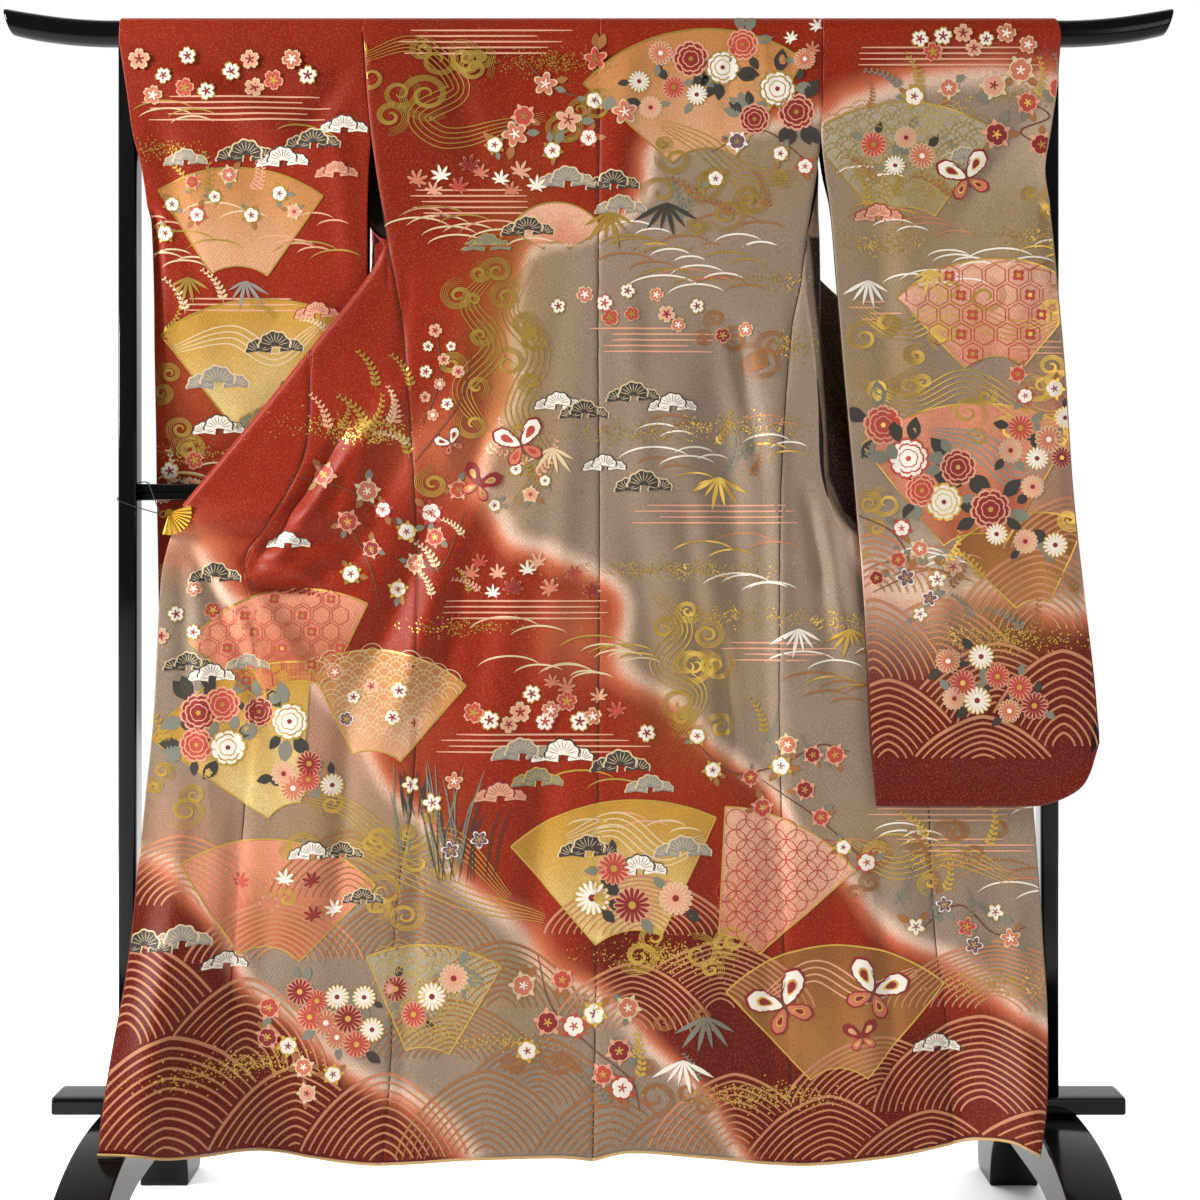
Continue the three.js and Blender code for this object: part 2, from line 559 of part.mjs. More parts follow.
// The sleeve as a tube: over the rail, down the near side, round the bottom and up the far side.
function sleeve({ side, table, armhole, bottom, cuff, cuffBack }) {
  const value = (z, column) => read(table, 'height', column, z);
  const armholeEnd = 1535;
  const cornerFrom = 0.68;
  const edges = (z, far) => {
    const inner = z > armholeEnd ? across(armhole, z) + side * CLOTH.seamGap * 1.6 : value(z, 'inner');
    const outer = far && cuff && z > cuff[cuff.length - 1].height ? across(cuff, z) : value(z, 'outer');
    return [inner, outer];
  };
  const floorAt = (u) => bottom + SLEEVE_BOTTOM.corner
    * (1 - Math.sqrt(1 - Math.max(0, (u - cornerFrom) / (1 - cornerFrom)) ** 2));
  const down = table.map((row) => row.height);
  const lowest = down[down.length - 1];
  const bend = 800;
  const point = (u, z0, far) => {
    const z = z0 > bend ? z0 : mix(floorAt(u), bend, (z0 - lowest) / (bend - lowest));
    const [inner, outer] = edges(z, far);
    const near = value(z, 'near');
    let back = value(z, 'far');
    if (far && cuffBack && z > cuffBack[cuffBack.length - 1].height) {
      back = mix(back, across(cuffBack, z), u);
    }
    const shut = z0 < 1430 ? smooth((u - SLEEVE_CLOSE) / (1 - SLEEVE_CLOSE)) : 0;
    const middle = (near + back) / 2;
    const y = far ? mix(back, middle + 1, shut) : mix(near, middle - 1, shut);
    return [mix(inner, outer, u), y, z];
  };
  const loops = SLEEVE_PARTS.map((u) => {
    const over = [0, 36, 72, 108, 144, 180].map((angle) => {
      const [, y, z] = overRail(0, angle);
      const inner = across(armhole, RAIL.height) + side * CLOTH.seamGap * 1.6;
      const outerNear = edges(1663, false)[1];
      const outerFar = edges(1663, true)[1];
      return [mix(inner, mix(outerFar, outerNear, angle / 180), u), y, z];
    });
    const near = down.map((z) => point(u, z, false));
    const far = [...down].reverse().map((z) => point(u, z, true));
    const a = near[near.length - 1];
    const b = far[0];
    const turn = [(a[0] + b[0]) / 2, (a[1] + b[1]) / 2, a[2] - Math.abs(a[1] - b[1]) * 0.3];
    return [...over, ...near, turn, ...far];
  });
  return wallOn(loops[0].map((_, j) => loops.map((loop) => loop[j])), { loop: true });
}

// ---- Clip and thread -----------------------------------------------------------------------------

// A fan-shaped clip: a pleated front jaw and a smaller back jaw, joined beyond the corner of the
// cloth, with a wire ring for the thread.
function fanClip() {
  const { x, z, radius, from, to, ribs, plate, pleat, grip, back, jaw, knuckle } = CLIP;
  const face = nearDepth(x + radius / 2, z) - grip;
  const sector = (outer, depthAt, steps) => {
    const rings = Array.from({ length: steps + 1 }, (_, k) => {
      const a = THREE.MathUtils.degToRad(mix(from, to, k / steps));
      const y = depthAt(k);
      const at = (r, dy) => [x + r * Math.cos(a), y + dy, z + r * Math.sin(a)];
      return [at(1.5, 0), at(outer, 0), at(outer, plate), at(1.5, plate)];
    });
    return toSolid(throughRings(rings));
  };
  const front = sector(radius, (k) => face - (k % 2) * pleat, ribs * 2);
  const rear = sector(jaw, () => face + back, 6);
  const pin = wasm.Manifold.cylinder(back + plate + pleat, knuckle, knuckle, 12)
    .rotate([-90, 0, 0]).translate([x, face - pleat, z]);
  const ring = toSolid(new THREE.TorusGeometry(RING.radius, RING.wire, 6, 16)
    .rotateX(Math.PI / 2).translate(RING.x, face - 0.5, RING.z));
  return fromSolid(wasm.Manifold.union([front, rear, pin, ring]));
}

// The thread: from the clip's ring in front of the post, round it, over the middle rail and back.
function clipThread() {
  const face = nearDepth(CLIP.x + CLIP.radius / 2, CLIP.z) - CLIP.grip - 0.5;
  const left = -POST.x - POST.width / 2 - 1.3;
  const right = -POST.x + POST.width / 2 + 1.3;
  const front = -POST.depth / 2 - 1.3;
  const railTop = MID_RAIL.height + MID_RAIL.size / 2 + 1.3;
  const stations = [
    [RING.x - 0.4, face + 1.6, RING.z], [RING.x - 0.4, face - 1.6, RING.z],
    [RING.x - 6, face - 3.6, RING.z + 0.6], [right - 1, front, RING.z + 10],
    [left, front, RING.z + 20], [left, -front, RING.z + 34], [right, -front, railTop + 3],
    [right + 9, -MID_RAIL.depth / -2 - 1, railTop + 0.6], [right + 15, -MID_RAIL.depth / 2 - 1.6, railTop],
    [RING.x - 6, face + 3.6, RING.z + 3],
  ].map((p) => new THREE.Vector3(...p));
  const n = stations.length;
  const rings = [];
  const perSpan = Math.round(THREAD.steps / n);
  const points = [];
  stations.forEach((p, i) => {
    for (let k = 0; k < perSpan; k += 1) {
      points.push(p.clone().lerp(stations[(i + 1) % n], k / perSpan));
    }
  });
  const m = points.length;
  const eased = points.map((p, i) => p.clone().multiplyScalar(2).add(points[(i + 1) % m])
    .add(points[(i + m - 1) % m]).multiplyScalar(0.25));
  for (let i = 0; i < m; i += 1) {
    const along = eased[(i + 1) % m].clone().sub(eased[(i + m - 1) % m]).normalize();
    const aside = new THREE.Vector3(0, 0, 1).cross(along).normalize();
    const up = along.clone().cross(aside);
    rings.push(Array.from({ length: THREAD.sides }, (_, k) => {
      const a = (Math.PI * 2 * k) / THREAD.sides;
      const p = eased[i].clone().addScaledVector(aside, THREAD.radius * Math.cos(a))
        .addScaledVector(up, THREAD.radius * Math.sin(a));
      return [p.x, p.y, p.z];
    }));
  }
  return closedTube(rings);
}

function closedTube(rings) {
  const n = rings[0].length;
  const index = [];
  rings.forEach((_, j) => {
    const next = ((j + 1) % rings.length) * n;
    for (let i = 0; i < n; i += 1) {
      const [a, b, c, d] = [j * n + i, j * n + ((i + 1) % n), next + ((i + 1) % n), next + i];
      index.push(a, b, c, a, c, d);
    }
  });
  return outward(rings.flat(2), index);
}

// ---- Stand -----------------------------------------------------------------------------------------

function roundedSection(halfY, halfZ, power, count) {
  return Array.from({ length: count }, (_, k) => {
    const a = (Math.PI * 2 * k) / count;
    const squared = (c) => Math.sign(c) * Math.abs(c) ** power;
    return [halfY * squared(Math.cos(a)), halfZ * squared(Math.sin(a))];
  });
}

// The top rail, whose ends rise beyond the sleeves and are cut on a slant.
function topRail(grow = 0) {
  const section = roundedSection(RAIL.halfSize + grow, RAIL.halfSize + grow, RAIL.squareness, 24);
  const { halfLength, straight, lift, height, endRound } = RAIL;
  const stations = [straight, 700, 740, 780, halfLength - endRound, halfLength];
  const xs = [...stations.map((x) => -x).reverse(), ...stations];
  return throughRings(xs.map((x) => {
    const out = Math.max(0, Math.abs(x) - straight) / (halfLength - straight);
    const shrink = Math.abs(x) === halfLength ? 1 - endRound / (2 * RAIL.halfSize) : 1;
    return section.map(([y, z]) => [x + Math.sign(x) * z * RAIL.endSlant * smooth((out - 0.7) / 0.3),
      y * shrink, height + lift * out * out + z * shrink]);
  }));
}

// A straight piece of even section along X, with softened ends.
function barAlongX(halfLength, section, height, soft) {
  const ends = [[-halfLength, 1], [-halfLength + soft, 0], [halfLength - soft, 0], [halfLength, 1]];
  const deepest = Math.max(...section.map(([y]) => y));
  return throughRings(ends.map(([x, end]) => section.map(([y, z]) => {
    const k = 1 - (end * soft) / deepest;
    return [x, y * k, height + z * k];
  })));
}

function post(x) {
  const section = roundedSection(POST.width / 2, POST.depth / 2, 0.25, 20);
  const rings = [BEAM.top + FITTED, RAIL.height].map((z) => section.map(([a, b]) => [x + a, b, z]));
  return fromSolid(toSolid(throughRings(rings)).subtract(toSolid(topRail(FITTED))));
}

// The middle rail's moulded section: a rounded upper part over a narrower bead.
const MID_SECTION = [[13, 2], [13, 8], [11, 11], [6, 11.5], [-6, 11.5], [-11, 11], [-13, 8],
  [-13, 2], [-10.5, 0], [-10.5, -2], [-12, -4], [-12, -8], [-9, -11.5], [9, -11.5], [12, -8],
  [12, -4], [10.5, -2], [10.5, 0]];

// A foot: a plank set on edge across the stand, falling to rounded toes, arched underneath.
function foot(x) {
  const { halfSpan, width, top, drop, archHalf, archHeight, nose, bevel } = FOOT;
  const outline = [];
  const steps = 18;
  for (let k = 0; k <= steps; k += 1) {
    const y = mix(-halfSpan + nose * 0.35, halfSpan - nose * 0.35, k / steps);
    outline.push([y, top - drop * Math.abs(y / halfSpan) ** 3]);
  }
  const tip = top - drop;
  const toe = [[halfSpan - 2, tip - nose * 0.5], [halfSpan, tip - nose], [halfSpan - 4, 12],
    [halfSpan - 16, 0], [archHalf, 0]];
  outline.push(...toe);
  const archSteps = 14;
  for (let k = 1; k < archSteps; k += 1) {
    const a = (Math.PI * k) / archSteps;
    const y = archHalf * Math.cos(a);
    outline.push([y, archHeight * Math.sqrt(1 - Math.abs(y / archHalf) ** 5)]);
  }
  outline.push(...[...toe].reverse().map(([y, z]) => [-y, z]));
  const shape = new THREE.Shape(outline.map(([y, z]) => new THREE.Vector2(y, z)));
  const geometry = new THREE.ExtrudeGeometry(shape, { depth: width - 2 * bevel, steps: 1,
    bevelThickness: bevel, bevelSize: bevel, bevelOffset: -bevel, bevelSegments: 1 });
  geometry.rotateX(Math.PI / 2).rotateZ(Math.PI / 2);
  geometry.translate(x - width / 2 + bevel, 0, 0);
  geometry.deleteAttribute('uv');
  geometry.deleteAttribute('normal');
  return mergeVertices(geometry, 1e-3);
}

// ---- The whole --------------------------------------------------------------------------------------

const BACKS = {
  left: backColumns(SEAMS.armholeLeft, SEAMS.sideLeft),
  right: backColumns(SEAMS.armholeRight, SEAMS.sideRight),
};
for (const [name, other, finish] of [['left', 'right', 'silkRed'], ['right', 'left', 'silkGrey']]) {
  const front = FRONTS[name];
  const back = BACKS[name];
  const fronts = FRONT_PARTS.map((s) => frontColumn(front, s));
  const okumi = OKUMI_PARTS.map((s) => okumiColumn(front, s));
  const besideBack = back[back.length - 2].slice(-FALL.length);
  place(`back_${name}`, panel(back, { before: BACKS[other][1],
    after: fronts[1].slice(-FALL.length) }), finish);
  place(`front_${name}`, panel(fronts, { before: besideBack, after: okumi[1] }), finish);
  place(`okumi_${name}`, panel(okumi, { twisted: front.twisted,
    before: fronts[fronts.length - 2] }), 'silkRed');
  place(`hem_back_${name}`, hemRoll(back), 'lining');
  place(`hem_front_${name}`, hemRoll(fronts), 'lining');
  place(`hem_okumi_${name}`, hemRoll(okumi), 'lining');
}
place('collar', collar(), 'silkRed');
place('sleeve_left', sleeve({ side: -1, table: SLEEVE_LEFT, armhole: SEAMS.armholeLeft,
  bottom: SLEEVE_BOTTOM.left }), 'silkRed');
place('sleeve_right', sleeve({ side: 1, table: SLEEVE_RIGHT, armhole: SEAMS.armholeRight,
  bottom: SLEEVE_BOTTOM.right, cuff: CUFF_RIGHT, cuffBack: CUFF_RIGHT_BACK }), 'silkGrey');
place('fan_clip', fanClip(), 'gold');
place('clip_thread', clipThread(), 'thread');
place('top_rail', topRail(), 'lacquer');
place('post_left', post(-POST.x), 'lacquer');
place('post_right', post(POST.x), 'lacquer');
place('mid_rail', barAlongX(POST.x - POST.width / 2 - FITTED, MID_SECTION, MID_RAIL.height, 1), 'lacquer');
place('base_beam', barAlongX(BEAM.halfLength, roundedSection(BEAM.depth / 2,
  (BEAM.top - BEAM.bottom) / 2, 0.3, 20), (BEAM.top + BEAM.bottom) / 2, 4), 'lacquer');
place('foot_left', foot(-POST.x), 'lacquer');
place('foot_right', foot(POST.x), 'lacquer');

export default part;
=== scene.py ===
# %% [markdown]
# # A furisode on its stand
# The furisode is the most formal kimono of a young unmarried woman: six lengths of figured
# silk, two long sleeves and a band for a collar, all cut from one narrow bolt. Here it hangs
# over the top rail of a lacquered stand with its back to the viewer, one front corner drawn
# out and clipped to the post. The solids of the part come in first, as the fixed frame.

# %% The frame
import json

import bpy
import numpy as np
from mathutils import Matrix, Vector

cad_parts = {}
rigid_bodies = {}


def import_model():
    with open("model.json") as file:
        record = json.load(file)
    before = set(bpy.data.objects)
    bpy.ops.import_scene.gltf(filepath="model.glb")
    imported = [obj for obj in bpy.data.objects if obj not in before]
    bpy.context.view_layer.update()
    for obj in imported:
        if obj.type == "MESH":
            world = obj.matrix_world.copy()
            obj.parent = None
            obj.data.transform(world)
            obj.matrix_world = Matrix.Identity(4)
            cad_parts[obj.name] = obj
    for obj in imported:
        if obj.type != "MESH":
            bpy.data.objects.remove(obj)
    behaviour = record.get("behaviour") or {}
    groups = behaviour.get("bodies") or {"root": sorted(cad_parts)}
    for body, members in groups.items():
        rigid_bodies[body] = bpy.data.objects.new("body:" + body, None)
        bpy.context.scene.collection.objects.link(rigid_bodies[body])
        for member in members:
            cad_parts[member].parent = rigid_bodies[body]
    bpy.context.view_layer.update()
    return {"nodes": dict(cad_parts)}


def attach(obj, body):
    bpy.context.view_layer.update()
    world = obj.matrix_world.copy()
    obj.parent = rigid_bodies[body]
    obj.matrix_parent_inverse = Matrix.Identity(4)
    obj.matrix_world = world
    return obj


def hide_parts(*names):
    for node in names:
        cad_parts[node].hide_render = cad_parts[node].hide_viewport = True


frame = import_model()

# %% [markdown]
# Colours are written as sRGB hex values, as a dyer would match them by eye, and one function
# turns them into the linear light that the shaders use.

# %% Colour and mesh helpers
MM = 0.001


def linear(hex_colour):
    """sRGB hex to linear light: each channel's display curve is undone."""
    value = hex_colour.lstrip("#")
    srgb = np.array([int(value[i:i + 2], 16) for i in (0, 2, 4)]) / 255.0
    return np.where(srgb <= 0.04045, srgb / 12.92, ((srgb + 0.055) / 1.055) ** 2.4)


def new_mesh(name, points, quads, soft=True):
    """Puts an array of points in millimetres and an array of faces into a new object."""
    mesh = bpy.data.meshes.new(name)
    mesh.from_pydata((np.asarray(points) * MM).tolist(), [], np.asarray(quads).tolist())
    mesh.polygons.foreach_set("use_smooth", [soft] * len(mesh.polygons))
    mesh.update()
    piece = bpy.data.objects.new(name, mesh)
    bpy.context.scene.collection.objects.link(piece)
    return piece


def paint(piece, name, colours):
    """Stores a linear colour at every vertex of a piece."""
    rgba = np.ones((len(piece.data.vertices), 4), np.float32)
    rgba[:, :3] = colours
    layer = piece.data.color_attributes.new(name, "FLOAT_COLOR", "POINT")
    layer.data.foreach_set("color", rgba.ravel())


print("vermilion in linear light:", linear("#8c2006").round(3).tolist())

# %% Grids and curves
def grid_faces(rows, columns, loop_rows=False, loop_columns=False, first=0):
    """Quads of a grid stored row by row; a loop joins its last row or column to its first."""
    j = np.arange(rows if loop_rows else rows - 1)[:, None]
    i = np.arange(columns if loop_columns else columns - 1)[None, :]
    below = (j + 1) % rows
    right = (i + 1) % columns
    corners = (j * columns + i, j * columns + right, below * columns + right, below * columns + i)
    return np.stack([c + np.zeros_like(j + i) for c in corners], -1).reshape(-1, 4) + first


def smooth(t):
    """An S curve from 0 to 1, flat at both ends."""
    t = np.clip(t, 0.0, 1.0)
    return t * t * (3 - 2 * t)


def unit(v):
    """Vectors brought to length 1."""
    return v / np.maximum(np.linalg.norm(v, axis=-1, keepdims=True), 1e-9)


def ray(a):
    """The point at angle a on a circle of radius 1 in the plane of the front view."""
    return np.stack([np.cos(a), np.sin(a)], -1)


def turned_left(v):
    """Plane vectors turned by a quarter to the left."""
    return np.stack([-v[:, 1], v[:, 0]], -1)


def hermite(x, y, at, level=False):
    """A cubic through the rows of y at x; its slope at a row is the mean of those beside it.
    A level one is held so flat at its rows that it never swings past them."""
    x = np.asarray(x, float)
    y = np.asarray(y, float)
    last = len(x) - 1
    a = np.maximum(np.arange(len(x)) - 1, 0)
    b = np.minimum(np.arange(len(x)) + 1, last)
    lift = (slice(None),) + (None,) * (y.ndim - 1)
    slope = (y[b] - y[a]) / (x[b] - x[a])[lift]
    if level:
        step = np.diff(y, axis=0) / np.diff(x)[lift]
        before, after = step[a], step[b - 1]
        most = 3 * np.minimum(np.abs(before), np.abs(after))
        slope = np.clip(slope, -most, most) * (before * after > 0)
        slope[0], slope[-1] = step[0], step[-1]
    at = np.clip(np.asarray(at, float), x[0], x[-1])
    i = np.clip(np.searchsorted(x, at, side="right") - 1, 0, last - 1)
    wide = x[i + 1] - x[i]
    t = ((at - x[i]) / wide).reshape(at.shape + (1,) * (y.ndim - 1))
    wide = wide.reshape(t.shape)
    return (y[i] * (2 * t**3 - 3 * t**2 + 1) + slope[i] * wide * (t**3 - 2 * t**2 + t)
            + y[i + 1] * (3 * t**2 - 2 * t**3) + slope[i + 1] * wide * (t**3 - t**2))


def at_height(table, height):
    """Reads a table of rows (height, value), given from the top down."""
    rows = np.array(table, float)[::-1]
    return hermite(rows[:, 0], rows[:, 1], height)


def distances(points):
    """How far along a line each of its points lies; for a grid, by the widest gap of each row."""
    gaps = np.linalg.norm(np.diff(np.asarray(points, float), axis=0), axis=-1)
    return np.concatenate([[0], np.cumsum(gaps.reshape(len(gaps), -1).max(1))])


def along(points, t):
    """The point at part t of the length of a rounded line through a list of points."""
    length = distances(points)
    return hermite(length, points, np.asarray(t, float) * length[-1])


print("half way along a bent line:", along([(0, 0), (3, 0), (3, 4)], 0.5).round(2).tolist())

# %% [markdown]
# ## How the cloth hangs
# A kimono is flat pieces sewn with straight seams, so its shape here is told by its seams:
# where each runs, as seen from the front, and how far from the stand's middle plane it hangs.
# Every panel between two seams is worked out from the same few lines, so neighbours meet.
# The sizes are the same as those of the solids.

# %% Seams, edges and folds
WALL = 1.6
RAIL_Z = 1681.0
CLOTH_RADIUS = 20.4
SQUARE = 0.85
SHOULDER = 1662.0

CENTRE = [(1701, 16), (1234, 13), (1022, 15), (477, 12), (127, 6)]
ARMHOLE = {"left": [(1701, -316), (1537, -302), (1383, -278)], "right": [(1701, 326), (1530, 322),
    (1395, 303)]}
SIDE = {"left": [(1383, -278), (1263, -257), (1129, -247), (1022, -240), (860, -237), (614, -243),
    (514, -259), (427, -267), (249, -272), (120, -282)], "right": [(1395, 303), (1317, 292),
    (1270, 282), (1145, 271), (1022, 265), (751, 264), (574, 267), (411, 269), (332, 275), (120, 281)]}
FRONT_SEAM = {"left": [(1236, -386), (1100, -391), (1018, -428), (945, -476), (905, -464), (806, -459),
    (706, -464), (551, -479), (315, -494), (145, -507)], "right": [(950, 440), (780, 455), (608, 468),
    (415, 478), (332, 490), (228, 496), (150, 499)]}
EDGE = {"left": [(1020, -562), (975, -577), (927, -589), (813, -596), (754, -598), (676, -605),
    (643, -609), (556, -617), (514, -622), (361, -628), (301, -633), (168, -642)],
    "right": [(1000, 590), (800, 602), (608, 613), (457, 623), (355, 626), (245, 616), (191, 607),
    (157, 600)]}
HEM = [(-642, 168), (-606, 168), (-560, 157), (-507, 146), (-420, 138), (-351, 126), (-282, 120),
    (-169, 127), (-32, 130), (6, 126), (50, 137), (165, 130), (281, 120), (404, 130), (495, 148),
    (562, 168), (600, 157)]
RIDGE = {"left": [(-278, 1383), (-309, 1333), (-386, 1236), (-477, 1123), (-562, 1020)],
    "right": [(303, 1395), (308, 1327), (321, 1212), (327, 1060), (345, 1015), (376, 979), (440, 950),
    (510, 962), (590, 1000)]}
SPLIT = {"left": 0.396, "right": 0.758}
NEAR = [(1681, -20.4), (1663, -21.5), (1390, -28), (1040, -34), (600, -42), (300, -51), (110, -62)]
FAR = {"left": [(1681, 20.4), (1663, 21.5), (1537, 21.5), (1430, 0), (1383, -14), (1236, -17),
    (1020, -18)], "right": [(1681, 20.4), (1663, 21.5), (1537, 21.5), (1450, 4), (1395, -11),
    (1300, -13), (1047, -18), (945, -20)]}

print("the backs at the hem:", SIDE["right"][-1][1] - SIDE["left"][-1][1], "mm wide")

# %% Folds
# Each fold: its two ends, how fast it dies away sideways, and its depth (+ is a valley). The
# first table is that of the solids too; the creases are only here.
FOLDS = np.array([(176, 1240, 240, 560, 34, 9), (226, 1180, 262, 700, 24, -5),
    (-60, 1250, -150, 620, 46, -6), (-130, 1230, -215, 700, 30, 5), (-560, 1000, -290, 1010, 26, -7),
    (-560, 985, -330, 880, 26, 6), (-560, 970, -380, 780, 30, -6), (-470, 930, -345, 965, 28, -4),
    (352, 1000, 366, 860, 26, -8), (318, 980, 340, 760, 24, 5), (-380, 420, -395, 140, 60, -5),
    (-555, 480, -575, 190, 45, -5), (-120, 420, -130, 130, 70, -5), (150, 430, 150, 130, 70, -5),
    (385, 440, 390, 150, 55, -5)])
CREASES = np.array([(-30, 1330, -95, 980, 26, 2.5), (-170, 1300, -190, 980, 22, -2.2),
    (90, 1340, 60, 1120, 24, 2), (190, 820, 205, 640, 22, 3), (205, 1675, 190, 1560, 14, 1.6),
    (240, 1678, 250, 1590, 10, -1.4), (275, 1676, 286, 1600, 9, 1.4), (-230, 900, -236, 300, 12, 1.8),
    (268, 660, 272, 200, 12, 1.8), (-300, 860, -330, 420, 34, 2.4), (-430, 700, -455, 330, 30, 2.2),
    (60, 900, 90, 420, 44, -2.6), (-40, 760, -90, 380, 34, 2.4), (330, 620, 345, 240, 30, 2.2),
    (-540, 930, -470, 640, 20, 2.6), (-545, 940, -520, 560, 16, -2.4),
    (-420, 1110, -330, 1060, 16, 2.2), (555, 560, 560, 250, 26, 2), (-250, 1340, -262, 1180, 12, 2),
    (288, 1350, 276, 1180, 12, 2), (170, 1250, 232, 640, 60, 7), (255, 1180, 268, 760, 22, -5),
    (120, 1180, 165, 820, 34, -4), (-215, 1180, -330, 940, 26, 5), (-250, 1200, -400, 960, 22, -4),
    (-180, 1150, -250, 760, 30, -5), (-100, 1130, -160, 720, 34, 5), (-555, 1000, -350, 905, 20, -6),
    (-550, 985, -300, 960, 18, 5), (-545, 975, -430, 690, 22, 6), (-500, 960, -390, 800, 18, -5),
    (-395, 380, -410, 130, 24, 4), (-600, 700, -615, 300, 26, 4), (-560, 640, -580, 260, 22, -4),
    (240, 500, 262, 130, 22, 4), (20, 520, 40, 140, 40, -4), (-240, 520, -262, 130, 20, 4),
    (470, 560, 500, 200, 30, 4), (590, 480, 596, 190, 20, -4), (-340, 1120, -455, 945, 11, 9),
    (-320, 1110, -435, 935, 16, -9), (-300, 1130, -340, 1000, 22, -5), (-470, 905, -380, 902, 12, 9),
    (-470, 922, -375, 920, 14, -10), (-556, 975, -490, 850, 16, 7), (-540, 960, -460, 820, 14, -7),
    (-562, 960, -555, 760, 20, 5), (-420, 905, -300, 955, 18, 5), (205, 1265, 240, 1060, 20, 13),
    (240, 1060, 255, 700, 24, 12), (130, 1050, 165, 760, 26, 9), (180, 860, 196, 660, 18, 8),
    (60, 1000, 110, 700, 30, 5), (300, 1040, 330, 900, 16, 6), (322, 1000, 350, 830, 14, -7),
    (-20, 1180, -60, 700, 30, -5), (60, 1290, 80, 1000, 26, -4), (-165, 1110, -320, 760, 34, 12),
    (-130, 1090, -280, 700, 24, -7), (-330, 760, -350, 420, 26, 8), (250, 760, 262, 420, 24, 6),
    (-60, 680, -80, 330, 36, 6), (130, 620, 150, 260, 40, -6), (400, 560, 420, 200, 26, 6),
    (-200, 1660, -150, 1480, 30, 4), (60, 1660, 30, 1450, 30, -4), (-480, 620, -500, 250, 24, 7)])
LEANS = [(-1, 440, 600, 520, 165, 112), (1, 499, 600, 430, 150, 80)]


def fold_push(x, z, folds):
    """Sum of folds: each is a bell across its line and fades in and out along it."""
    push = np.zeros(np.broadcast(x, z).shape)
    for x0, z0, x1, z1, width, depth in folds:
        dx, dz = x1 - x0, z1 - z0
        t = ((x - x0) * dx + (z - z0) * dz) / (dx * dx + dz * dz)
        away = ((x - x0) * dz - (z - z0) * dx) / np.hypot(dx, dz)
        fade = smooth((t + 0.15) / 0.4) * smooth((1.15 - t) / 0.4)
        push = push + depth * fade * np.exp(-2 * (away / width) ** 2)
    return push


def rail_depth(z):
    """Depth of the cloth over the near side of the rail: a circle with slightly squared sides."""
    up = np.clip((z - RAIL_Z) / CLOTH_RADIUS, 0, 0.999)
    return -CLOTH_RADIUS * (1 - up ** (2 / SQUARE)) ** (SQUARE / 2)


def hang(x, z):
    """Depth of the visible layer without its folds: the hanging line plus the lean of the corners."""
    y = np.where(z > RAIL_Z, rail_depth(z), at_height(NEAR, z))
    for side, inner, outer, top, bottom, forward in LEANS:
        y = y - forward * smooth((x * side - inner) / (outer - inner)) * smooth((top - z) / (top - bottom))
    return y


TUCK_Z = 1380.0


def seam_valley(x, z):
    """A seam draws the cloth in: a narrow groove along it, with small puckers, and one across
    the back under the shoulders, where extra length is taken up in a tuck."""
    push = np.zeros(np.broadcast(x, z).shape)
    for table in (CENTRE, *ARMHOLE.values(), *SIDE.values(), *FRONT_SEAM.values()):
        top, end = table[0][0], table[-1][0] - 60
        away = x - at_height(table, z)
        here = (z < top + 3) & (z > end)
        push = push + here * (1.3 * np.exp(-(away / 3.0) ** 2)
                              + 0.5 * np.exp(-np.abs(away) / 14) * np.sin(z / 9.0 + top) * np.sin(z / 31.0))
    inside = smooth((x + 300) / 6) * smooth((310 - x) / 6)
    return push + 1.4 * np.exp(-((z - TUCK_Z) / 2.6) ** 2) * inside


def near_depth(x, z):
    """Depth of the visible layer with all its folds."""
    return hang(x, z) + fold_push(x, z, FOLDS) + fold_push(x, z, CREASES) + seam_valley(x, z)


def hem_at(x):
    """Height of the hem below a point."""
    return hermite(*np.array(HEM, float).T, x)


print("hem height under the back:", round(float(hem_at(0)), 1), "mm; folds:", len(FOLDS) + len(CREASES))

# %% [markdown]
# A panel starts as a few rows and columns of control points, as a pattern cutter's marks. Each
# point holds x, y, z and how much of the folds it takes: 1 on the layer that is seen, 0 on the
# hidden one. The marks are then joined by cubics into a fine grid, and the folds are added.

# %% Control grids
FALL = np.array([0.05, 0.1, 0.16, 0.22, 0.28, 0.34, 0.4, 0.46, 0.53, 0.6, 0.68, 0.76, 0.84, 0.91, 0.96, 1.0])
BEFORE = [0, 0.22, 0.45, 0.7, 0.9]
AFTER = [0, 0.14, 0.28, 0.43, 0.58, 0.74, 0.9]
COLLAR_LINE = {"left": [(-93.3, 1560), (-170, 1400), (-330, 1180), (-552, 1002)],
    "right": [(119.3, 1560), (210, 1500), (420, 1260), (585, 1010)]}
FRONT_TOP = 0.38
NECK_MIDDLE, NECK_HALF = 13, 106
NECK_X = {"left": -90, "right": 116}
OPEN_EDGE = {"left": [(-302, 1537), (-306.5, 1480), (-306, 1412), (-280, 1386)], "right": [(322, 1537),
    (322, 1470), (306, 1403)]}
BEND = {"left": (-296, 1306), "right": (322, 1262)}
BULGE = {"left": 0, "right": 62}
PLAIN = np.array([(-5, 8), (0, 4), (-5, 0)], float)
TUCKED = np.array([(-6, 15), (-16, 12.5), (-6, 8), (0, 4), (-5, 0)], float)
ARMPIT = np.array([(20, 11), (13, 8), (7, 5), (0, 2.5), (-6, 0)], float)


def bezier(points, t):
    """A cubic between the first and last of four points, pulled by the two between them."""
    p = np.array(points, float)
    t = np.asarray(t, float)[..., None]
    s = 1 - t
    return s**3 * p[0] + 3 * s * s * t * p[1] + 3 * s * t * t * p[2] + t**3 * p[3]


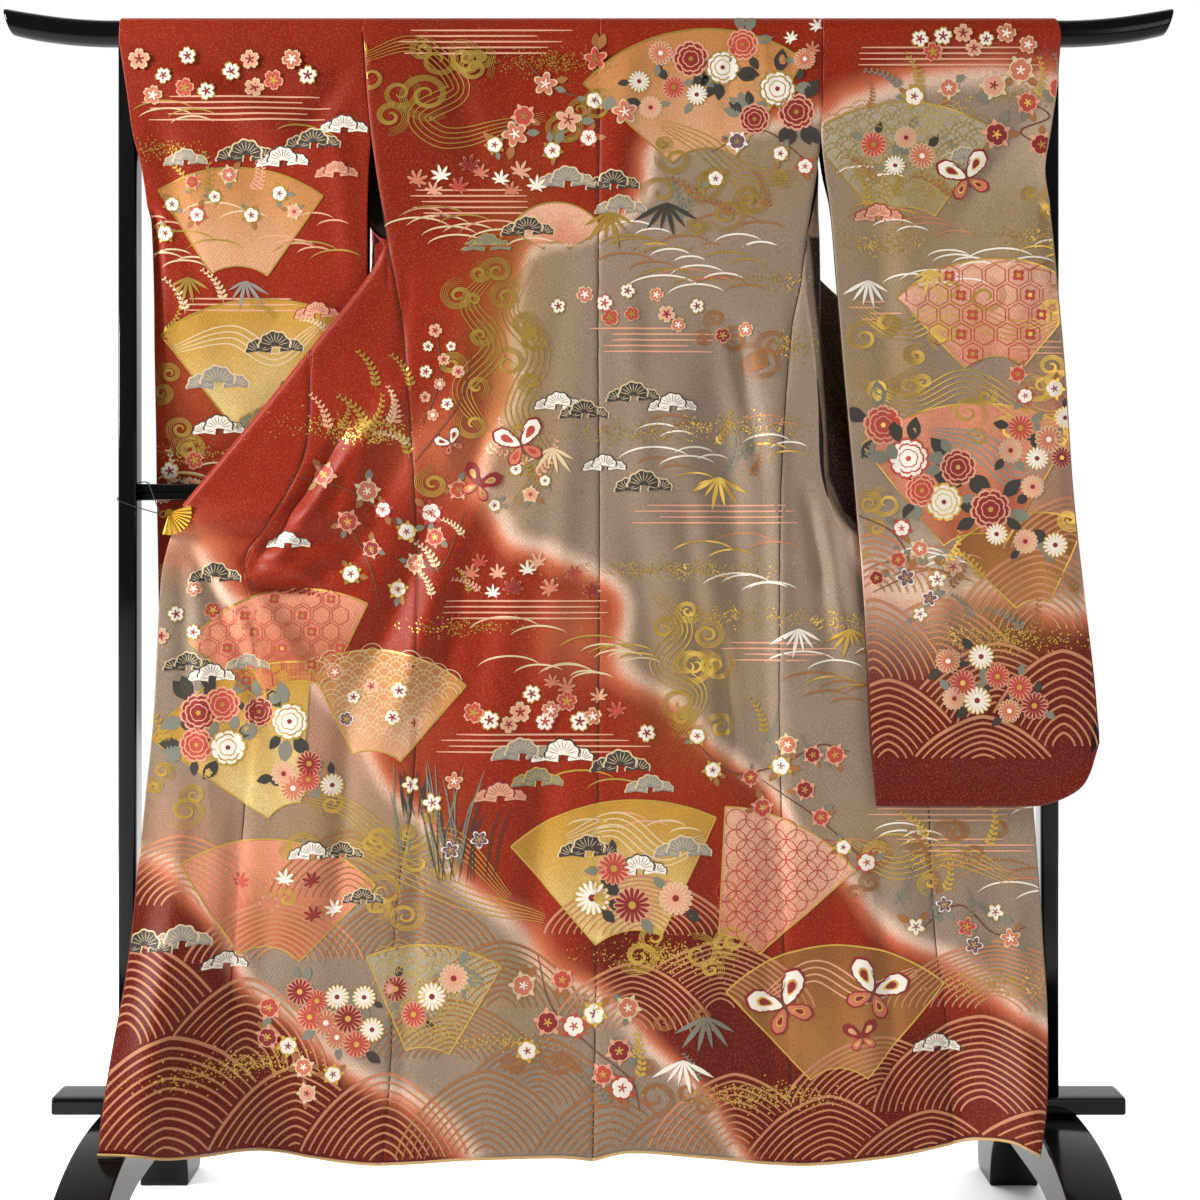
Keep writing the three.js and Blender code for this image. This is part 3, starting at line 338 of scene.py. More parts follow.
def seam_point(table, w):
    """The point of a seam at part w of its way from its top to the hem."""
    end = hem_at(table[-1][1])
    z = table[0][0] + (end - table[0][0]) * w
    return np.stack([at_height(table, z), z], -1)


def marks(x, y, z, folds):
    """Control points of one row: their places and how much of the folds they take."""
    return np.stack(np.broadcast_arrays(x, y, z, folds), -1).astype(float)


def near_rows(seam_a, seam_b, s, top, falls):
    """Rows below a panel's upper edge. Between the seams the rows are straight; the edge's own
    curve fades out downwards and the hem's curve fades in."""
    start = np.outer(1 - s, seam_point(seam_a, 0)) + np.outer(s, seam_point(seam_b, 0))
    off = top - start
    foot_a, foot_b = seam_point(seam_a, 1), seam_point(seam_b, 1)
    lift = hem_at(foot_a[0] + (foot_b[0] - foot_a[0]) * s) - (foot_a[1] + (foot_b[1] - foot_a[1]) * s)
    rows = []
    for w in falls:
        flat = np.outer(1 - s, seam_point(seam_a, w)) + np.outer(s, seam_point(seam_b, w))
        x = flat[:, 0] + off[:, 0] * (1 - w) ** 2
        z = flat[:, 1] + off[:, 1] * (1 - w) ** 2 + lift * smooth((w - 0.6) / 0.4)
        rows.append(marks(x, hang(x, z), z, 1))
    return rows


print("rows of marks from an upper edge to the hem:", len(FALL))


# %% The turned edge and the rail
def turned_rows(side, t, opened):
    """The cloth turning over its upper edge: a small loop square to the ridge."""
    sign = -1 if side == "left" else 1
    edge = along(RIDGE[side], t)
    ahead = along(RIDGE[side], np.minimum(1, t + 0.02))
    behind = along(RIDGE[side], np.maximum(0, t - 0.02))
    square = np.stack([sign * (behind[:, 1] - ahead[:, 1]), sign * (ahead[:, 0] - behind[:, 0])], -1)
    k = smooth(opened / 0.2)[:, None]
    way = unit(np.array([0, 1.0]) * (1 - k) + unit(square) * k)
    rolled, flat = (TUCKED, ARMPIT) if side == "right" else (PLAIN, ARMPIT[2:])
    rows = []
    for a, b in zip(flat, rolled):
        mixed = a + (b - a) * smooth(opened / 0.25)[:, None]
        p = edge + way * mixed[:, :1]
        rows.append(marks(p[:, 0], hang(p[:, 0], p[:, 1]) + mixed[:, 1], p[:, 1], 1))
    return rows


def over_rail(x, degrees):
    """Round the rail: a circle whose sides are slightly squared."""
    a = np.radians(degrees)
    squared = lambda c: np.sign(c) * np.abs(c) ** SQUARE
    return marks(x, CLOTH_RADIUS * squared(np.cos(a)), RAIL_Z + CLOTH_RADIUS * squared(np.sin(a)), 0)


print("top of the cloth over the rail, mm:", float(over_rail(0.0, 90)[2]))


# %% Fronts and overlaps
def front_marks(side, s):
    """Control rows of a front, from the shoulder down the far side, over its upper edge where it
    is turned to the near side, and down to the hem; s runs from the side seam to the okumi."""
    armhole = ARMHOLE[side]
    corner = bezier(COLLAR_LINE[side], FRONT_TOP)
    outer = [(at_height(armhole, SHOULDER), SHOULDER), *OPEN_EDGE[side]]
    neck = NECK_X[side]
    first = COLLAR_LINE[side][0]
    inner_top = [(neck, SHOULDER), ((neck + first[0]) / 2, 1600), first, tuple(corner)]
    end = along(RIDGE[side], SPLIT[side])
    inner_low = [tuple(corner), BEND[side], tuple(end)]
    edge = along(RIDGE[side], s * SPLIT[side])
    turned = turned_rows(side, s * SPLIT[side], s)
    rows = []
    for t in BEFORE:
        p = np.outer(1 - s, along(outer, t * 0.55)) + np.outer(s, along(inner_top, t))
        y = at_height(FAR[side], p[:, 1]) + BULGE[side] * s * smooth(t)
        rows.append(marks(p[:, 0], y, p[:, 1], 0))
    last = np.outer(1 - s, along(outer, 1)) + np.outer(s, along(inner_low, 1))
    for t in AFTER:
        p = np.outer(1 - s, along(outer, 0.55 + 0.45 * t)) + np.outer(s, along(inner_low, t))
        p = p + (edge - last) * smooth(t) ** 2
        if side == "left":
            drawn = 38 * np.exp(-((t - 0.79) / 0.2) ** 2) * smooth(s / 0.15) * smooth((1 - s) / 0.5)
            p = p + drawn[:, None] * np.array([0.85, -0.53])
        y = at_height(FAR[side], p[:, 1]) + s * BULGE[side] * smooth(1 - t / 0.78)
        k = smooth((t - 0.6) / 0.4)
        rows.append(marks(p[:, 0], y * (1 - k) + turned[0][:, 1] * k, p[:, 1], k))
    return np.array(rows + turned + near_rows(SIDE[side], FRONT_SEAM[side], s, edge, FALL))


def okumi_marks(side, s):
    """Control rows of an overlap panel: down the collar, over the turned edge, to the hem."""
    corner = bezier(COLLAR_LINE[side], FRONT_TOP)
    end = along(RIDGE[side], SPLIT[side])
    inner_low = [tuple(corner), BEND[side], tuple(end)]
    ridge_at = SPLIT[side] + (1 - SPLIT[side]) * s
    turned = turned_rows(side, ridge_at, np.ones_like(s))
    last = np.outer(1 - s, along(inner_low, 1)) + np.outer(s, bezier(COLLAR_LINE[side], 1))
    target = turned[0][:, [0, 2]]
    rows = []
    for t in AFTER[1:]:
        line = bezier(COLLAR_LINE[side], FRONT_TOP + (1 - FRONT_TOP) * t)
        p = np.outer(1 - s, along(inner_low, t)) + np.outer(s, line) + (target - last) * smooth(t) ** 2
        y = at_height(FAR[side], p[:, 1]) + BULGE[side] * smooth(1 - t / 0.78) * (1 + 0.6 * s)
        k = smooth((t - 0.6) / 0.4)
        rows.append(marks(p[:, 0], y * (1 - k) + turned[0][:, 1] * k, p[:, 1], k))
    ridge = along(RIDGE[side], ridge_at)
    grid = np.array(rows + turned + near_rows(FRONT_SEAM[side], EDGE[side], s, ridge, FALL))
    grid[:, 0] = front_marks(side, np.array([1.0]))[len(BEFORE) + 1:, 0]
    return grid


print("marks of a front:", front_marks("left", np.linspace(0, 1, 7)).shape[:2])

# %% Backs
NECK_PARTS = [0, 0.1, 0.18, 0.245, 0.285, 0.308]


def neckline_at(x):
    """The neckline behind the rail: a squared arch."""
    out = np.minimum(1, np.abs(x - NECK_MIDDLE) / NECK_HALF)
    power = 2 / 0.7
    return 1560 + 108 * (1 - out**power) ** (1 / power)


def back_marks(side):
    """Control rows of a back panel: from the neckline over the rail and down to the hem."""
    parts = np.array([*NECK_PARTS, 0.318, 0.48, 0.65, 0.83, 1])
    armhole, seam = ARMHOLE[side], SIDE[side]
    between = lambda z: at_height(CENTRE, z) * (1 - parts) + at_height(armhole, z) * parts
    x_rail, x_shoulder = between(RAIL_Z), between(SHOULDER)
    at_neck = np.arange(len(parts)) < len(NECK_PARTS)
    x = np.where(at_neck, x_rail, x_shoulder)
    z = np.where(at_neck, neckline_at(x_rail) + 0.8, SHOULDER + 0.3)
    rows = [marks(x, at_height(FAR["left"], np.full_like(z, 1640)), z, 0)]
    rows += [over_rail(x_rail, angle) for angle in range(0, 181, 30)]
    for z in (1663, 1600, 1540, 1485, 1435):
        rows.append(marks(between(z), hang(between(z), z), z, 1))
    armpit = seam[0][0]
    centre = [(armpit, float(at_height(CENTRE, armpit))), *CENTRE[1:]]
    top = np.outer(1 - parts, seam_point(centre, 0)) + np.outer(parts, seam_point(seam, 0))
    return np.array(rows + near_rows(centre, seam, parts, top, np.concatenate([[0], FALL])))


print("marks of a back:", back_marks("left").shape[:2])

# %% Fine grids and closed cloth walls
def steps(length, size):
    """Stops between given lengths, about size apart: each gap is cut evenly. The end is left out."""
    cuts = np.maximum(1, np.ceil(np.diff(length) / size)).astype(int)
    return np.concatenate([np.linspace(a, b, n, endpoint=False)
        for a, b, n in zip(length[:-1], length[1:], cuts)])


def refine(grid, size, edges=False):
    """Joins the rows of a grid by cubics and cuts them into steps of about size millimetres.
    With edges, two narrow steps are added at both ends, for the roll of a seam."""
    length = distances(grid[..., :3])
    stops = np.append(steps(length, size), length[-1])
    if edges:
        close = np.array([1.2, 3.2])
        inner = stops[(stops > 5) & (stops < length[-1] - 5)]
        stops = np.concatenate([[0], close, inner, length[-1] - close[::-1], [length[-1]]])
    return hermite(length, grid, stops, level=edges)


def normals(points, loop=False):
    """Unit normals of a grid: the cross product of its two directions."""
    if loop:
        down = np.roll(points, -1, 0) - np.roll(points, 1, 0)
    else:
        down = np.gradient(points, axis=0)
    return unit(np.cross(np.gradient(points, axis=1), down))


SEAM_WALL = 0.35


def cloth_wall(name, points, outer_sign, loop=False, wall=WALL):
    """A closed wall on a grid of middle points. Its side columns are thinner, so a seam shows
    as a soft groove. Returns the object; vertices of the outer face come first."""
    rows, columns = points.shape[:2]
    thick = np.full(columns, wall / 2)
    thick[[0, -1]] = wall / 2 * SEAM_WALL
    thick[[1, -2]] = wall / 2 * (SEAM_WALL + (1 - SEAM_WALL) * 0.7)
    n = normals(points, loop) * thick[None, :, None] * outer_sign
    shell = np.concatenate([(points + n).reshape(-1, 3), (points - n).reshape(-1, 3)])
    count = rows * columns
    front = grid_faces(rows, columns, loop_rows=loop)
    back = grid_faces(rows, columns, loop_rows=loop, first=count)
    if outer_sign > 0:
        back = back[:, ::-1]
    else:
        front = front[:, ::-1]
    j = np.arange(rows if loop else rows - 1)
    k = (j + 1) % rows
    sides = []
    for column, turn in ((0, False), (columns - 1, True)):
        a, b = j * columns + column, k * columns + column
        quad = np.stack([a, b, b + count, a + count], -1)
        sides.append(quad[:, ::-1] if turn != (outer_sign < 0) else quad)
    if not loop:
        i = np.arange(columns - 1)
        for row, turn in ((0, True), (rows - 1, False)):
            a, b = row * columns + i, row * columns + i + 1
            quad = np.stack([a, b, b + count, a + count], -1)
            sides.append(quad[:, ::-1] if turn != (outer_sign < 0) else quad)
    piece = new_mesh(name, shell, np.concatenate([front, back, *sides]))
    inside = np.zeros(len(piece.data.polygons), np.int32)
    inside[len(front):len(front) + len(back)] = 1
    piece.data.polygons.foreach_set("material_index", inside)
    return piece


CELL = 7.0


def refine_across(grid):
    """Refines the rows of a grid from side to side, with the narrow steps at its edges."""
    return np.swapaxes(refine(np.swapaxes(grid, 0, 1), CELL, edges=True), 0, 1)


def drape(control):
    """Fine middle points of a panel. The marks keep only what differs from the hanging line;
    after refining, the line itself and the folds are added where the layer is seen."""
    marked = control.copy()
    marked[..., 1] -= marked[..., 3] * hang(marked[..., 0], marked[..., 2])
    fine = refine_across(refine(marked, CELL))
    x, y, z, part = np.moveaxis(fine, -1, 0)
    part = np.clip(part, 0, 1)
    return np.stack([x, y + part * near_depth(x, z), z], -1)


PARTS = {"front": np.array([0, 0.12, 0.26, 0.44, 0.63, 0.82, 1.0]), "okumi": np.array([0, 0.33, 0.67, 1.0])}
SEAM_GAP = 0.02


def pull_in(points):
    """Draws the side columns in by half a seam's gap."""
    points = points.copy()
    for edge, beside in ((0, 1), (-1, -2)):
        points[:, edge] += unit(points[:, beside] - points[:, edge]) * SEAM_GAP
    return points


panels = {}
for side in ("left", "right"):
    turn = -1 if side == "right" else 1
    panels["back_" + side] = (pull_in(drape(back_marks(side))), turn)
    panels["front_" + side] = (pull_in(drape(front_marks(side, PARTS["front"]))), turn)
    panels["okumi_" + side] = (pull_in(drape(okumi_marks(side, PARTS["okumi"]))), turn)
print({name: points.shape[:2] for name, (points, _) in panels.items()})

# %% [markdown]
# ## The sleeves
# A furisode's sleeve is one length of silk folded over the shoulder: two layers, sewn together
# along the bottom and the outer edge, open at the wrist and along the inner edge. It is a tube
# here, over the rail, down the near side, round the bottom fold and up the far side.

# %% Sleeve tubes
SLEEVE = {"left": [(1663, -315.6, -652, -21.5, 21.5), (1600, -308, -642, -21.5, 21.5),
    (1537, -302.4, -633, -21.5, 21.5), (1493, -305, -622, -20, 22), (1430, -308, -614, -14, 23),
    (1333, -309, -611, -4, 24), (1236, -309, -611, 4, 25), (1120, -308, -610, 13, 26),
    (1051, -307, -610, 18, 27), (940, -306, -608, 19, 27), (800, -304, -606, 19, 27),
    (640, -302, -604, 18, 26)], "right": [(1663, 326.6, 656, -21.5, 21.5),
    (1600, 325, 651, -21.8, 21.5), (1537, 323, 641, -24, 21.5), (1484, 327, 632, -30, 3),
    (1430, 334, 638, -36, -26), (1340, 341, 646, -42, -33), (1200, 352, 657, -47, -39),
    (1040, 366, 667, -50, -42), (900, 377, 681, -53, -45), (800, 382, 692, -56, -48),
    (700, 386, 700, -59, -51), (612, 394, 702, -60, -52)]}
CUFF = [(1663, 640), (1600, 623), (1540, 616), (1484, 620), (1455, 632), (1430, 638)]
CUFF_BACK = [(1663, 21.5), (1590, 22), (1540, 1), (1484, -23), (1430, -27)]
ARMHOLE_END = 1535.0
WRIST = 1430.0
ROUND_FROM = 800.0
SLEEVE_FLOOR = {"left": 636, "right": 612}
SLEEVE_FOLDS = {"left": np.array([(-640, 1668, -330, 1560, 30, 4), (-600, 1640, -330, 1480, 34, -4),
    (-520, 1600, -420, 1380, 40, 3), (-350, 1560, -330, 1330, 22, -3), (-560, 1500, -540, 1150, 40, -3),
    (-440, 1350, -430, 1050, 40, 2.5), (-625, 1655, -420, 1600, 20, 4), (-600, 1560, -540, 1300, 26, 4),
    (-330, 1640, -420, 1500, 22, 4), (-380, 1300, -350, 1120, 26, -4)]),
    "right": np.array([(650, 1640, 420, 1500, 34, 3), (610, 1500, 560, 1050, 44, -4),
    (420, 1560, 440, 1150, 40, -3), (500, 1450, 520, 800, 50, 3), (600, 1100, 640, 700, 44, -3),
    (430, 1000, 450, 640, 38, 3), (640, 1600, 500, 1400, 26, 5), (400, 1480, 430, 1000, 30, 5),
    (560, 1300, 620, 800, 34, 5), (480, 1000, 500, 660, 26, -4)])}


def sleeve_table(side, column, z):
    """One column of a sleeve's table at a height: inner edge, outer edge, near or far depth."""
    return at_height([(row[0], row[column]) for row in SLEEVE[side]], z)


def sleeve_inner(side, z, gap=0.48):
    """The inner edge: sewn to the body as far as the armhole goes, then free."""
    sewn = at_height(ARMHOLE[side], z) + (-gap if side == "left" else gap)
    return np.where(z > ARMHOLE_END, sewn, sleeve_table(side, 1, z))


def sleeve_part(side, x, z):
    """How far across the sleeve a point lies: 0 at the inner edge, 1 at the outer."""
    inner = sleeve_inner(side, z)
    return (x - inner) / (sleeve_table(side, 2, z) - inner)


def sleeve_depth(side, x, z, folds=1.0):
    """Depth of the sleeve's near layer. Below the wrist the two layers close at the outer edge."""
    near, back = sleeve_table(side, 3, z), sleeve_table(side, 4, z)
    shut = smooth((sleeve_part(side, x, z) - 0.93) / 0.07) * smooth((WRIST + 10 - z) / 20)
    y = np.where(z > RAIL_Z, rail_depth(z), near + ((near + back) / 2 - 1 - near) * shut)
    return y + folds * fold_push(x, z, SLEEVE_FOLDS[side]) * smooth((1660 - z) / 60) * (1 - shut)


def sleeve_marks(side, u):
    """Control rows of a sleeve, as a loop. Between inner and outer edge a row is straight; the
    layers close at the outer edge below the wrist and the bottom's outer corner is a quarter
    round."""
    floor = SLEEVE_FLOOR[side] + 85 * (1 - np.sqrt(1 - np.maximum(0, (u - 0.68) / 0.32) ** 2))
    heights = [row[0] for row in SLEEVE[side]]

    def row(z0, far):
        z = np.full_like(u, z0)
        if z0 <= ROUND_FROM:
            z = floor + (ROUND_FROM - floor) * (z0 - heights[-1]) / (ROUND_FROM - heights[-1])
        inner = sleeve_inner(side, z)
        outer = sleeve_table(side, 2, z)
        near, back = sleeve_table(side, 3, z), sleeve_table(side, 4, z)
        if far and side == "right":
            outer = np.where(z > WRIST, at_height(CUFF, z), outer)
            back = np.where(z > WRIST, back * (1 - u) + at_height(CUFF_BACK, z) * u, back)
        shut = smooth((u - 0.93) / 0.07) if z0 < WRIST else np.zeros_like(u)
        x = inner + (outer - inner) * u
        if far:
            return marks(x, back + ((near + back) / 2 + 1 - back) * shut, z, 0)
        return marks(x, sleeve_depth(side, x, z, folds=0), z, 1)

    first = row(1663, True)[:, 0]
    last = row(1663, False)[:, 0]
    over = [over_rail(first + (last - first) * angle / 180, angle) for angle in range(0, 181, 30)]
    near = [row(z, False) for z in heights]
    far = [row(z, True) for z in heights[::-1]]
    a, b = near[-1], far[0]
    turn = (a + b) / 2
    turn[:, 2] -= np.abs(a[:, 1] - b[:, 1]) * 0.35
    return np.array([*over, *near, turn, *far])


def drape_sleeve(side):
    """Fine middle points of a sleeve, refined as a loop so that its ends meet smoothly."""
    u = np.array([0, 0.12, 0.32, 0.52, 0.7, 0.84, 0.93, 1.0])
    control = sleeve_marks(side, u)
    control[..., 1] -= control[..., 3] * sleeve_depth(side, control[..., 0], control[..., 2], folds=0)
    looped = np.concatenate([control[-2:], control, control[:2]])
    length = distances(looped[..., :3])
    fine = refine_across(hermite(length, looped, steps(length[2:-1], CELL)))
    x, y, z, part = np.moveaxis(fine, -1, 0)
    part = np.clip(part, 0, 1)
    return np.stack([x, y + part * sleeve_depth(side, x, z), z], -1)


sleeves = {side: drape_sleeve(side) for side in ("left", "right")}
print({side: points.shape[:2] for side, points in sleeves.items()})

# %% [markdown]
# ## The dyed ground
# The silk is dyed in zones that melt into each other (bokashi): vermilion, grey-beige and, at
# the hem and the sleeve ends, maroon. Each zone is a loose outline, and the distance to that
# outline blends the dyes, with a pale pink glow where red meets grey. A few dark maroon
# patches high on the left are painted shade.

# %% Zones of dye
# the lining dye is near black: a brown silk lining darkened as painted shade
DYES = {"red": "#8c2006", "maroon": "#651305", "greige": "#917d6a", "glow": "#f3d6bd", "flush": "#d4673c",
    "haze": "#9f8040", "blush": "#c9744c", "lining": "#1b0e08"}
DYE = {name: linear(value) for name, value in DYES.items()}
GREY_ZONES = [[(90, 1520), (200, 1545), (420, 1560), (430, 1300), (400, 900), (720, 900), (720, 290),
    (560, 345), (440, 430), (320, 545), (230, 640), (130, 720), (50, 790), (20, 900), (-40, 950),
    (-115, 985), (-130, 1120), (-115, 1240), (-85, 1370), (0, 1400), (50, 1450)], [(-720, 980),
    (-590, 985), (-500, 900), (-420, 840), (-330, 720), (-250, 620), (-130, 480), (-50, 390), (30, 320),
    (120, 240), (220, 90), (-120, 90), (-180, 150), (-300, 240), (-430, 330), (-500, 400), (-570, 510),
    (-720, 600)]]
SLEEVE_GREY = [(300, 1530), (720, 1570), (720, 930), (560, 900), (350, 960)]
WAVE_ZONES = [[(-720, 560), (-560, 500), (-430, 390), (-300, 270), (-130, 170), (-60, 70), (-720, 70)],
    [(-20, 470), (60, 500), (200, 430), (330, 330), (480, 330), (640, 300), (720, 90), (250, 70),
    (60, 250)]]


def zone(x, z, outline, soft):
    """How far a point is inside an outline, from 0 to 1 over the width of the blend: the
    distance to the nearest side, signed by whether the point is enclosed. The outline's marks
    are joined by a closed curve first."""
    looped = np.array([outline[-1], *outline, *outline[:2]], float)
    p = hermite(np.arange(-1, len(outline) + 2), looped, np.arange(0, len(outline), 0.2))
    q = np.roll(p, -1, axis=0)
    best = np.full(x.shape, 1e9)
    enclosed = np.zeros(x.shape, bool)
    for (x0, z0), (x1, z1) in zip(p, q):
        t = np.clip(((x - x0) * (x1 - x0) + (z - z0) * (z1 - z0)) / ((x1 - x0) ** 2 + (z1 - z0) ** 2), 0, 1)
        best = np.minimum(best, np.hypot(x - x0 - t * (x1 - x0), z - z0 - t * (z1 - z0)))
        crosses = (z0 > z) != (z1 > z)
        enclosed ^= crosses & (x < (x1 - x0) * (z - z0) / (z1 - z0 + 1e-9) + x0)
    return smooth(0.5 + np.where(enclosed, best, -best) / soft)


print("dyes:", list(DYE))

# %% Soft patches and the two grounds
# Soft patches over the ground: x, z, half width, half height, dye and strength. The maroon
# patches high on the left of the body and of the left sleeve are painted shade.
PATCHES = {"body": [(-95, 1230, 60, 170, "haze", 0.55), (150, 800, 80, 120, "haze", 0.35),
    (240, 1480, 90, 60, "haze", 0.3), (-330, 560, 120, 60, "haze", 0.45),
    (420, 560, 120, 60, "haze", 0.3), (-180, 1090, 70, 60, "blush", 0.6),
    (-130, 350, 90, 60, "haze", 0.35), (-20, 840, 50, 60, "blush", 0.5),
    # the maroon patches at (-210, 1610) and (-250, 1470) are painted shade over the upper left
    (-560, 960, 60, 40, "blush", 0.6), (-210, 1610, 120, 110, "maroon", 0.6),
    (-250, 1470, 110, 90, "maroon", 0.45), (-330, 1300, 60, 90, "maroon", 0.3),
    (-560, 560, 90, 70, "blush", 0.3), (-340, 700, 110, 90, "blush", 0.35)],
    "right": [(450, 1400, 100, 90, "haze", 0.45), (620, 1380, 70, 120, "haze", 0.4),
    (400, 1200, 80, 60, "haze", 0.45), (640, 1150, 60, 60, "blush", 0.5),
    (430, 900, 90, 70, "glow", 0.6), (620, 980, 70, 80, "blush", 0.5), (540, 880, 90, 60, "haze", 0.45),
    # on the left sleeve, the maroon patch at (-400, 1600) is painted shade
    (650, 1500, 50, 70, "glow", 0.4)], "left": [(-400, 1600, 200, 90, "maroon", 0.45),
    (-480, 1180, 110, 60, "haze", 0.2), (-500, 860, 90, 60, "blush", 0.4)]}


def patched(colours, on, x, z):
    """Blends soft patches, of dye and of painted shade, into the ground: a bell over each one's
    two half sizes.
    """
    for cx, cz, across, up, dye, strength in PATCHES[on]:
        part = strength * np.exp(-((x - cx) / across) ** 2 - ((z - cz) / up) ** 2)[..., None]
        colours = colours * (1 - part) + DYE[dye] * part
    return colours


# The body's right outline as seen. Beyond it the cloth turns over into deep shade, and its
# outer face there is painted the near-black lining colour: painted shade.
BODY_RIGHT = [(1701, 326), (1530, 322), (1395, 305), (1327, 311), (1212, 324), (1060, 331), (1015, 350),
    (979, 380), (955, 430), (940, 470), (920, 590), *EDGE["right"][1:]]


def read_edge(table, z):
    """Reads an outline of rows (height, x) with straight sides between its rows."""
    rows = np.array(table, float)[::-1]
    return np.interp(z, rows[:, 0], rows[:, 1])


def dye_body(x, z):
    """The body's ground: red, then grey zones with a pale edge, then maroon under the waves, with
    soft patches of dye and of painted shade; beyond the right outline, painted shade in the
    lining colour.
    """
    sway = 14 * np.sin(x / 43 + z / 91) + 9 * np.sin(z / 29 - x / 57)
    grey = np.max([zone(x + sway, z, outline, 64) for outline in GREY_ZONES], axis=0)
    wave = np.max([zone(x, z + sway, outline, 50) for outline in WAVE_ZONES], axis=0) * (1 - grey)
    # painted shade: past the right outline the turned-over cloth gets the dark lining colour
    beyond = smooth((x - read_edge(BODY_RIGHT, z)) / 4) * smooth((z - 945) / 10) * (z < 1395)
    colours = patched(blend_dyes(grey, wave), "body", x, z)
    return colours * (1 - beyond[..., None]) + DYE["lining"] * beyond[..., None]


def blend_dyes(grey, wave):
    """Red turns to maroon by wave, then to grey by grey. Where grey is half way the edge glows:
    4 g (1 - g) is 1 there, and its red side is flushed."""
    colour = DYE["red"] * (1 - wave[..., None]) + DYE["maroon"] * wave[..., None]
    glow = ((4 * grey * (1 - grey)) ** 1.7)[..., None] * 0.85
    mixed = colour * (1 - grey[..., None]) + DYE["greige"] * grey[..., None]
    side = smooth((grey - 0.25) / 0.5)[..., None]
    return mixed * (1 - glow) + (DYE["flush"] * (1 - side) + DYE["glow"] * side) * glow


def dye_sleeve(side):
    """The ground of one sleeve: its grey zone, if any, and maroon at the bottom; on the left
    sleeve a maroon patch at the top is painted shade.
    """
    def dye(x, z):
        grey = zone(x, z, SLEEVE_GREY, 90) if side == "right" else np.zeros_like(x)
        top = 900 if side == "right" else 820
        wave = smooth((top + 40 - z) / 80) * (1 - grey)
        return patched(blend_dyes(grey, wave), side, x, z)
    return dye


print("soft patches:", {on: len(rows) for on, rows in PATCHES.items()})

# %% [markdown]
# ## Silk
# Chirimen crepe and figured silk: glossy filament, so it has a soft sheen, and a fine grain
# from its twisted weft. The grain is about 1 mm in the real cloth; it is drawn at 2.5 mm so
# that it shows. The figure woven into the ground is a nest of small lozenges, 4.5 mm apart.

# %% Materials of the cloth
def add_node(tree, kind, values=None, **settings):
    """Adds one node with its settings. Values go to its sockets; a socket that is given as a
    value is linked, and so is the first output of a node."""
    node = tree.nodes.new("ShaderNode" + kind)
    for name, value in settings.items():
        setattr(node, name, value)
    for socket, value in (values or {}).items():
        if isinstance(value, bpy.types.Node):
            value = value.outputs[0]
        if isinstance(value, bpy.types.NodeSocket):
            tree.links.new(value, node.inputs[socket])
        else:
            node.inputs[socket].default_value = value
    return node


def rgba(hex_colour):
    return (*linear(hex_colour).tolist(), 1.0)


def new_material(name, constants):
    """A material whose shader sockets hold these constants. Returns its nodes and shader too."""
    material = bpy.data.materials.new(name)
    material.use_nodes = True
    surface = material.node_tree.nodes["Principled BSDF"]
    for socket, value in constants.items():
        surface.inputs[socket].default_value = value
    return material, material.node_tree, surface


def woven_silk(name, attribute, roughness, sheen, grain, flecks=0.0):
    """Dyed silk: colour from the dyed ground, light and dark flecks and woven lozenges."""
    material, tree, surface = new_material(name, {"Roughness": roughness, "Sheen Weight": sheen,
        "Sheen Roughness": 0.35, "Specular IOR Level": 0.2})
    place = add_node(tree, "TexCoord").outputs["Object"]
    dye = add_node(tree, "VertexColor", layer_name=attribute)
    fleck = add_node(tree, "TexNoise", {"Vector": place, "Scale": 400.0, "Detail": 2.0})
    ramp = add_node(tree, "MapRange", {"Value": fleck, "From Min": 0.3, "From Max": 0.7, "To Min": 0.84,
        "To Max": 1.17})
    broad = add_node(tree, "TexNoise", {"Vector": place, "Scale": 9.0, "Detail": 3.0})
    cloud = add_node(tree, "MapRange", {"Value": broad, "From Min": 0.3, "From Max": 0.7, "To Min": 0.95,
        "To Max": 1.05})
    lozenge = []
    for angle in (0.62, -0.62):
        turned = add_node(tree, "Mapping", {"Vector": place, "Rotation": (0, angle, 0)})
        bands = add_node(tree, "TexWave", {"Vector": turned, "Scale": 70.0}, bands_direction="X")
        lozenge.append(bands.outputs["Fac"])
    woven = add_node(tree, "Math", {0: lozenge[0], 1: lozenge[1]}, operation="MULTIPLY")
    shade = add_node(tree, "MapRange", {"Value": woven, "To Min": 0.93, "To Max": 1.1})
    light = add_node(tree, "Math", {0: ramp, 1: shade}, operation="MULTIPLY")
    light = add_node(tree, "Math", {0: light, 1: cloud}, operation="MULTIPLY")
    colour = add_node(tree, "VectorMath", {0: dye, "Scale": light}, operation="SCALE")
    spots = add_node(tree, "TexVoronoi", {"Vector": place, "Scale": 420.0})
    speck = add_node(tree, "MapRange", {"Value": spots, "From Min": 0.12, "From Max": 0.3,
        "To Min": flecks, "To Max": 0.0})
    gilded = add_node(tree, "Mix", {"Factor": speck, 6: colour, 7: rgba("#d08a4a")}, data_type="RGBA")
    tree.links.new(gilded.outputs[2], surface.inputs["Base Color"])
    weave = add_node(tree, "TexNoise", {"Vector": place, "Scale": 900.0, "Detail": 1.0})
    bump = add_node(tree, "Bump", {"Height": weave, "Strength": grain, "Distance": 0.0006})
    tree.links.new(bump.outputs["Normal"], surface.inputs["Normal"])
    return material


